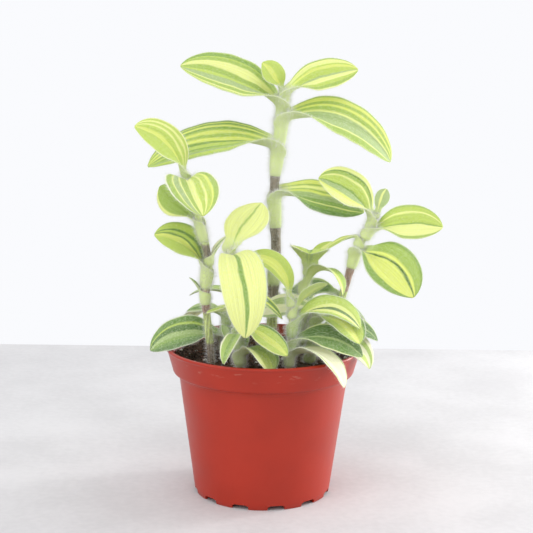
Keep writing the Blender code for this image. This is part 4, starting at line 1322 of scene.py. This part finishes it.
@dataclass(frozen=True)
class Soil:
    """The potting soil: a lumpy bed, strewn with crumbs, white grains and a few fibres."""

    pot: Pot
    level: float = 0.0735
    relief: float = 0.0012
    lump: float = 0.0011
    sides: int = 120
    rings: int = 44
    crumbs: float = 2.6e5
    grains: float = 1.3e4
    fibres: int = 26

    def height(self, x: Array, y: Array) -> Array:
        """The soil's uneven top."""
        waves = np.sin(310 * x + 1.3) * np.cos(270 * y - 0.6) + 0.6 * np.sin(520 * x - 410 * y + 2.1)
        lumps = np.sin(1900 * x + 3 * np.sin(900 * y)) * np.sin(1700 * y + 3 * np.sin(1100 * x))
        lumps = lumps + 0.5 * np.sin(3900 * x - 2700 * y) * np.sin(3100 * y + 1500 * x)
        return self.level + self.relief * 0.6 * waves + 0.5 * self.lump * lumps

    def build(self, finish: bpy.types.Material) -> bpy.types.Object:
        """Builds the bed.

        Args:
            finish: its material.

        Returns:
            The bed's object, with the attributes that its crumbs read.
        """
        pot = self.pot
        slope = (pot.wall_top_radius - pot.foot_radius) / pot.wall_top
        floor = pot.floor_underside + pot.floor + 0.0003
        band_slope = (pot.rim_radius - pot.band_radius) / (pot.height - pot.band_foot)
        edge = pot.band_radius - pot.wall - 0.0006 + band_slope * (self.level - pot.band_foot)
        sides = [(pot.foot_radius + slope * floor - pot.wall - 0.0006, floor),
                 (pot.wall_top_radius - pot.wall - 0.0006, pot.wall_top - 0.0015),
                 (pot.band_radius - pot.wall - 0.0009, pot.band_foot)]
        angles = 2 * np.pi * np.arange(self.sides) / self.sides
        rings = [np.stack([r * np.cos(angles), r * np.sin(angles), np.full(self.sides, z)], axis=1)
                 for r, z in sides]
        for share in np.linspace(1.0, 0.02, self.rings):
            x, y = edge * share * np.cos(angles), edge * share * np.sin(angles)
            rings.append(np.stack([x, y, self.height(x, y)], axis=1))
        ends = np.array([[0.0, 0.0, floor], [0.0, 0.0, float(self.height(np.zeros(1), np.zeros(1))[0])]])
        points = np.vstack([*rings, ends])
        soil = new_mesh_object("soil_bed", points, ring_faces(len(rings), self.sides))
        on_top = (points[:, 2] > self.level - 0.004).astype(float)
        point_attribute(soil, "cover", on_top)
        point_attribute(soil, "reach", np.ones(len(points)))
        soil.data.materials.append(finish)
        return soil

    def strew(self, bed: bpy.types.Object, tree: bpy.types.NodeTree, crumb: bpy.types.Material,
              grain: bpy.types.Material) -> list[bpy.types.Object]:
        """Strews the crumbs and the white grains.

        Args:
            bed: the bed that they lie on.
            tree: the tree that lays them.
            crumb: the crumbs' material.
            grain: the white grains' material.

        Returns:
            The two objects.
        """
        crumbs = scattered("soil_crumbs", bed, tree, Copies=self.crumbs, Length=0.00085, Radius=0.0,
                           Lean=1.5, Seed=3, Material=crumb)
        grains = scattered("white_grains", bed, tree, Copies=self.grains, Length=0.00120, Radius=0.0,
                           Lean=1.5, Seed=8, Material=grain)
        return [crumbs, grains]

    def lay_fibres(self, finish: bpy.types.Material) -> bpy.types.Object:
        """Lays thin curved fibres on the bed.

        Args:
            finish: their material.

        Returns:
            Their object.
        """
        chance = np.random.default_rng(17)
        sides = 5
        points: list[Array] = []
        faces: list[tuple[int, ...]] = []
        for _ in range(self.fibres):
            spread, angle = 0.042 * math.sqrt(chance.random()), 2 * math.pi * chance.random()
            turn, curve = 2 * math.pi * chance.random(), chance.uniform(-200, 200)
            length, radius = chance.uniform(0.004, 0.013), chance.uniform(0.00012, 0.00026)
            centre = np.array([spread * math.cos(angle), spread * math.sin(angle)])
            rings = []
            for s in np.linspace(-0.5, 0.5, 9) * length:
                way = turn + curve * s
                xy = centre + s * np.array([math.cos(way), math.sin(way)])
                z = float(self.height(xy[:1], xy[1:])[0]) + 0.0005
                side = np.array([-math.sin(way), math.cos(way), 0.0])
                ring = 2 * np.pi * np.arange(sides) / sides
                thin = radius * (1.0 - 0.6 * abs(2 * s / length) ** 3)
                rings.append(np.array([*xy, z]) + thin * (np.outer(np.cos(ring), side)
                                                          + np.outer(np.sin(ring), (0.0, 0.0, 1.0))))
            start = sum(len(p) for p in points)
            points.append(np.vstack([*rings, rings[0].mean(0), rings[-1].mean(0)]))
            faces += [tuple(v + start for v in f) for f in ring_faces(len(rings), sides)]
        fibres = new_mesh_object("soil_fibres", np.vstack(points), faces)
        fibres.data.materials.append(finish)
        return fibres


@dataclass(frozen=True)
class Studio:
    """The pale table, the soft light and the camera."""

    camera_place: tuple[float, float, float] = (0.00102, -0.6642, 0.2413)
    lens: float = 85.8
    sensor: float = 36.0
    pitch: float = 10.136
    roll: float = 0.702
    table_back: float = 0.32
    table_reach: float = 2.5
    backdrop: float = 0.90
    lift: float = 0.15

    def build(self) -> None:
        """Builds all of it."""
        self.set_table()
        self.set_light()
        self.set_camera()

    def set_table(self) -> None:
        """A pale table top with a faint mottle, which ends a little way behind the pot."""
        near = -self.table_reach
        corners = np.array([[near, near, 0], [-near, near, 0], [-near, self.table_back, 0],
                            [near, self.table_back, 0]], float)
        deep = corners - np.array([0.0, 0.0, 0.03])
        faces = [(0, 1, 2, 3), (7, 6, 5, 4), (0, 4, 5, 1), (1, 5, 6, 2), (2, 6, 7, 3), (3, 7, 4, 0)]
        table = new_mesh_object("table_top", np.vstack([corners, deep]), faces, smooth=False)
        material, wiring, shader = fresh_material("pale_stone")
        place = wiring.node("ShaderNodeTexCoord").outputs["Object"]
        cloud = wiring.noise(place, 16.0, 6.0)
        grains = wiring.noise(place, 260.0, 5.0)
        mottle = wiring.maths("ADD", wiring.maths("MULTIPLY", cloud, 0.7), wiring.maths("MULTIPLY", grains, 0.3))
        colour = wiring.mixed(wiring.between(mottle, 0.30, 0.70), (0.565, 0.557, 0.560), (0.655, 0.647, 0.650))
        wiring.tree.links.new(colour, shader.inputs["Base Color"])
        set_shader(shader, Roughness=0.75)
        table.data.materials.append(material)

    def set_light(self) -> None:
        """A white room, with large soft lights on both sides and above."""
        scene = bpy.context.scene
        world = bpy.data.worlds.new("white_room")
        world.use_nodes = True
        world.node_tree.nodes["Background"].inputs["Color"].default_value = (0.957, 0.965, 0.991, 1.0)
        world.node_tree.nodes["Background"].inputs["Strength"].default_value = self.backdrop
        scene.world = world
        scene.view_settings.view_transform = "Standard"
        scene.view_settings.exposure = self.lift
        lights = (("left_box", (-0.66, -0.72, 0.50), (0.8, 0.8), 2.45),
                  ("right_box", (1.10, 0.41, 0.33), (0.73, 0.73), 5.9),
                  ("right_strip", (0.50, 0.20, 0.14), (0.08, 0.30), 1.4),
                  ("top_box", (0.05, -0.62, 1.05), (0.8, 0.8), 2.4))
        for name, place, size, power in lights:
            lamp = bpy.data.lights.new(name, "AREA")
            lamp.shape = "RECTANGLE"
            lamp.size, lamp.size_y = size
            lamp.energy = power
            obj = bpy.data.objects.new(name, lamp)
            obj.location = place
            aim = Vector((0.0, 0.0, 0.10)) - Vector(place)
            obj.rotation_euler = aim.to_track_quat("-Z", "Y").to_euler()
            scene.collection.objects.link(obj)

    def set_camera(self) -> None:
        """The photograph's viewing angle."""
        data = bpy.data.cameras.new("view")
        data.lens = self.lens
        data.sensor_width = self.sensor
        camera = bpy.data.objects.new("view", data)
        place = Vector(self.camera_place) - Vector((*FOOTPRINT, 0.0))
        tilt = Euler((math.radians(90.0 - self.pitch), 0.0, 0.0)).to_matrix().to_4x4()
        roll = Matrix.Rotation(math.radians(self.roll), 4, "Z")
        camera.matrix_world = Matrix.Translation(place) @ tilt @ roll
        bpy.context.scene.collection.objects.link(camera)
        bpy.context.scene.camera = camera


def settle(piece: bpy.types.Object, slot: Slot, *nodes: str) -> None:
    """Rides a finished piece on the plant, hides the plain solids that it replaces and logs its face count.

    Args:
        piece: the finished piece.
        slot: the record's finish meant for it; not used.
        nodes: the plain solids that it replaces, if any.
    """
    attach(piece, BODY)
    for node in nodes:
        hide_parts(node)
    log.info("%s: %d faces", piece.name, len(piece.data.polygons))


def main() -> None:
    """Builds the studio, the pot, the soil and every shoot."""
    logging.basicConfig(level=logging.INFO, format="%(name)s: %(message)s")
    Studio().build()
    pot = Pot()
    settle(pot.build(PotFinish().material()), Slot.POT, "pot")
    soil = Soil(pot)
    earth = GroundFinish("earth", (0.020, 0.011, 0.007), (0.130, 0.072, 0.044)).material()
    white = GroundFinish("white_grain", (0.55, 0.53, 0.50), (0.85, 0.84, 0.80)).material()
    fibre = GroundFinish("fibre", (0.16, 0.06, 0.035), (0.36, 0.16, 0.09)).material()
    bed = soil.build(earth)
    settle(bed, Slot.SOIL, "soil")
    grains = Scatter("grain_scatter", grain=True).tree()
    for piece in [*soil.strew(bed, grains, earth, white), soil.lay_fibres(fibre)]:
        settle(piece, Slot.SOIL)
    hair = HairFinish().material()
    hairs = Scatter("hair_scatter").tree()
    for stem in STEMS:
        leaves = tuple(leaf for leaf in LEAVES if leaf.stem == stem.name)
        Shoot(stem, leaves).build(hair, hairs)


if __name__ == "__main__":
    main()
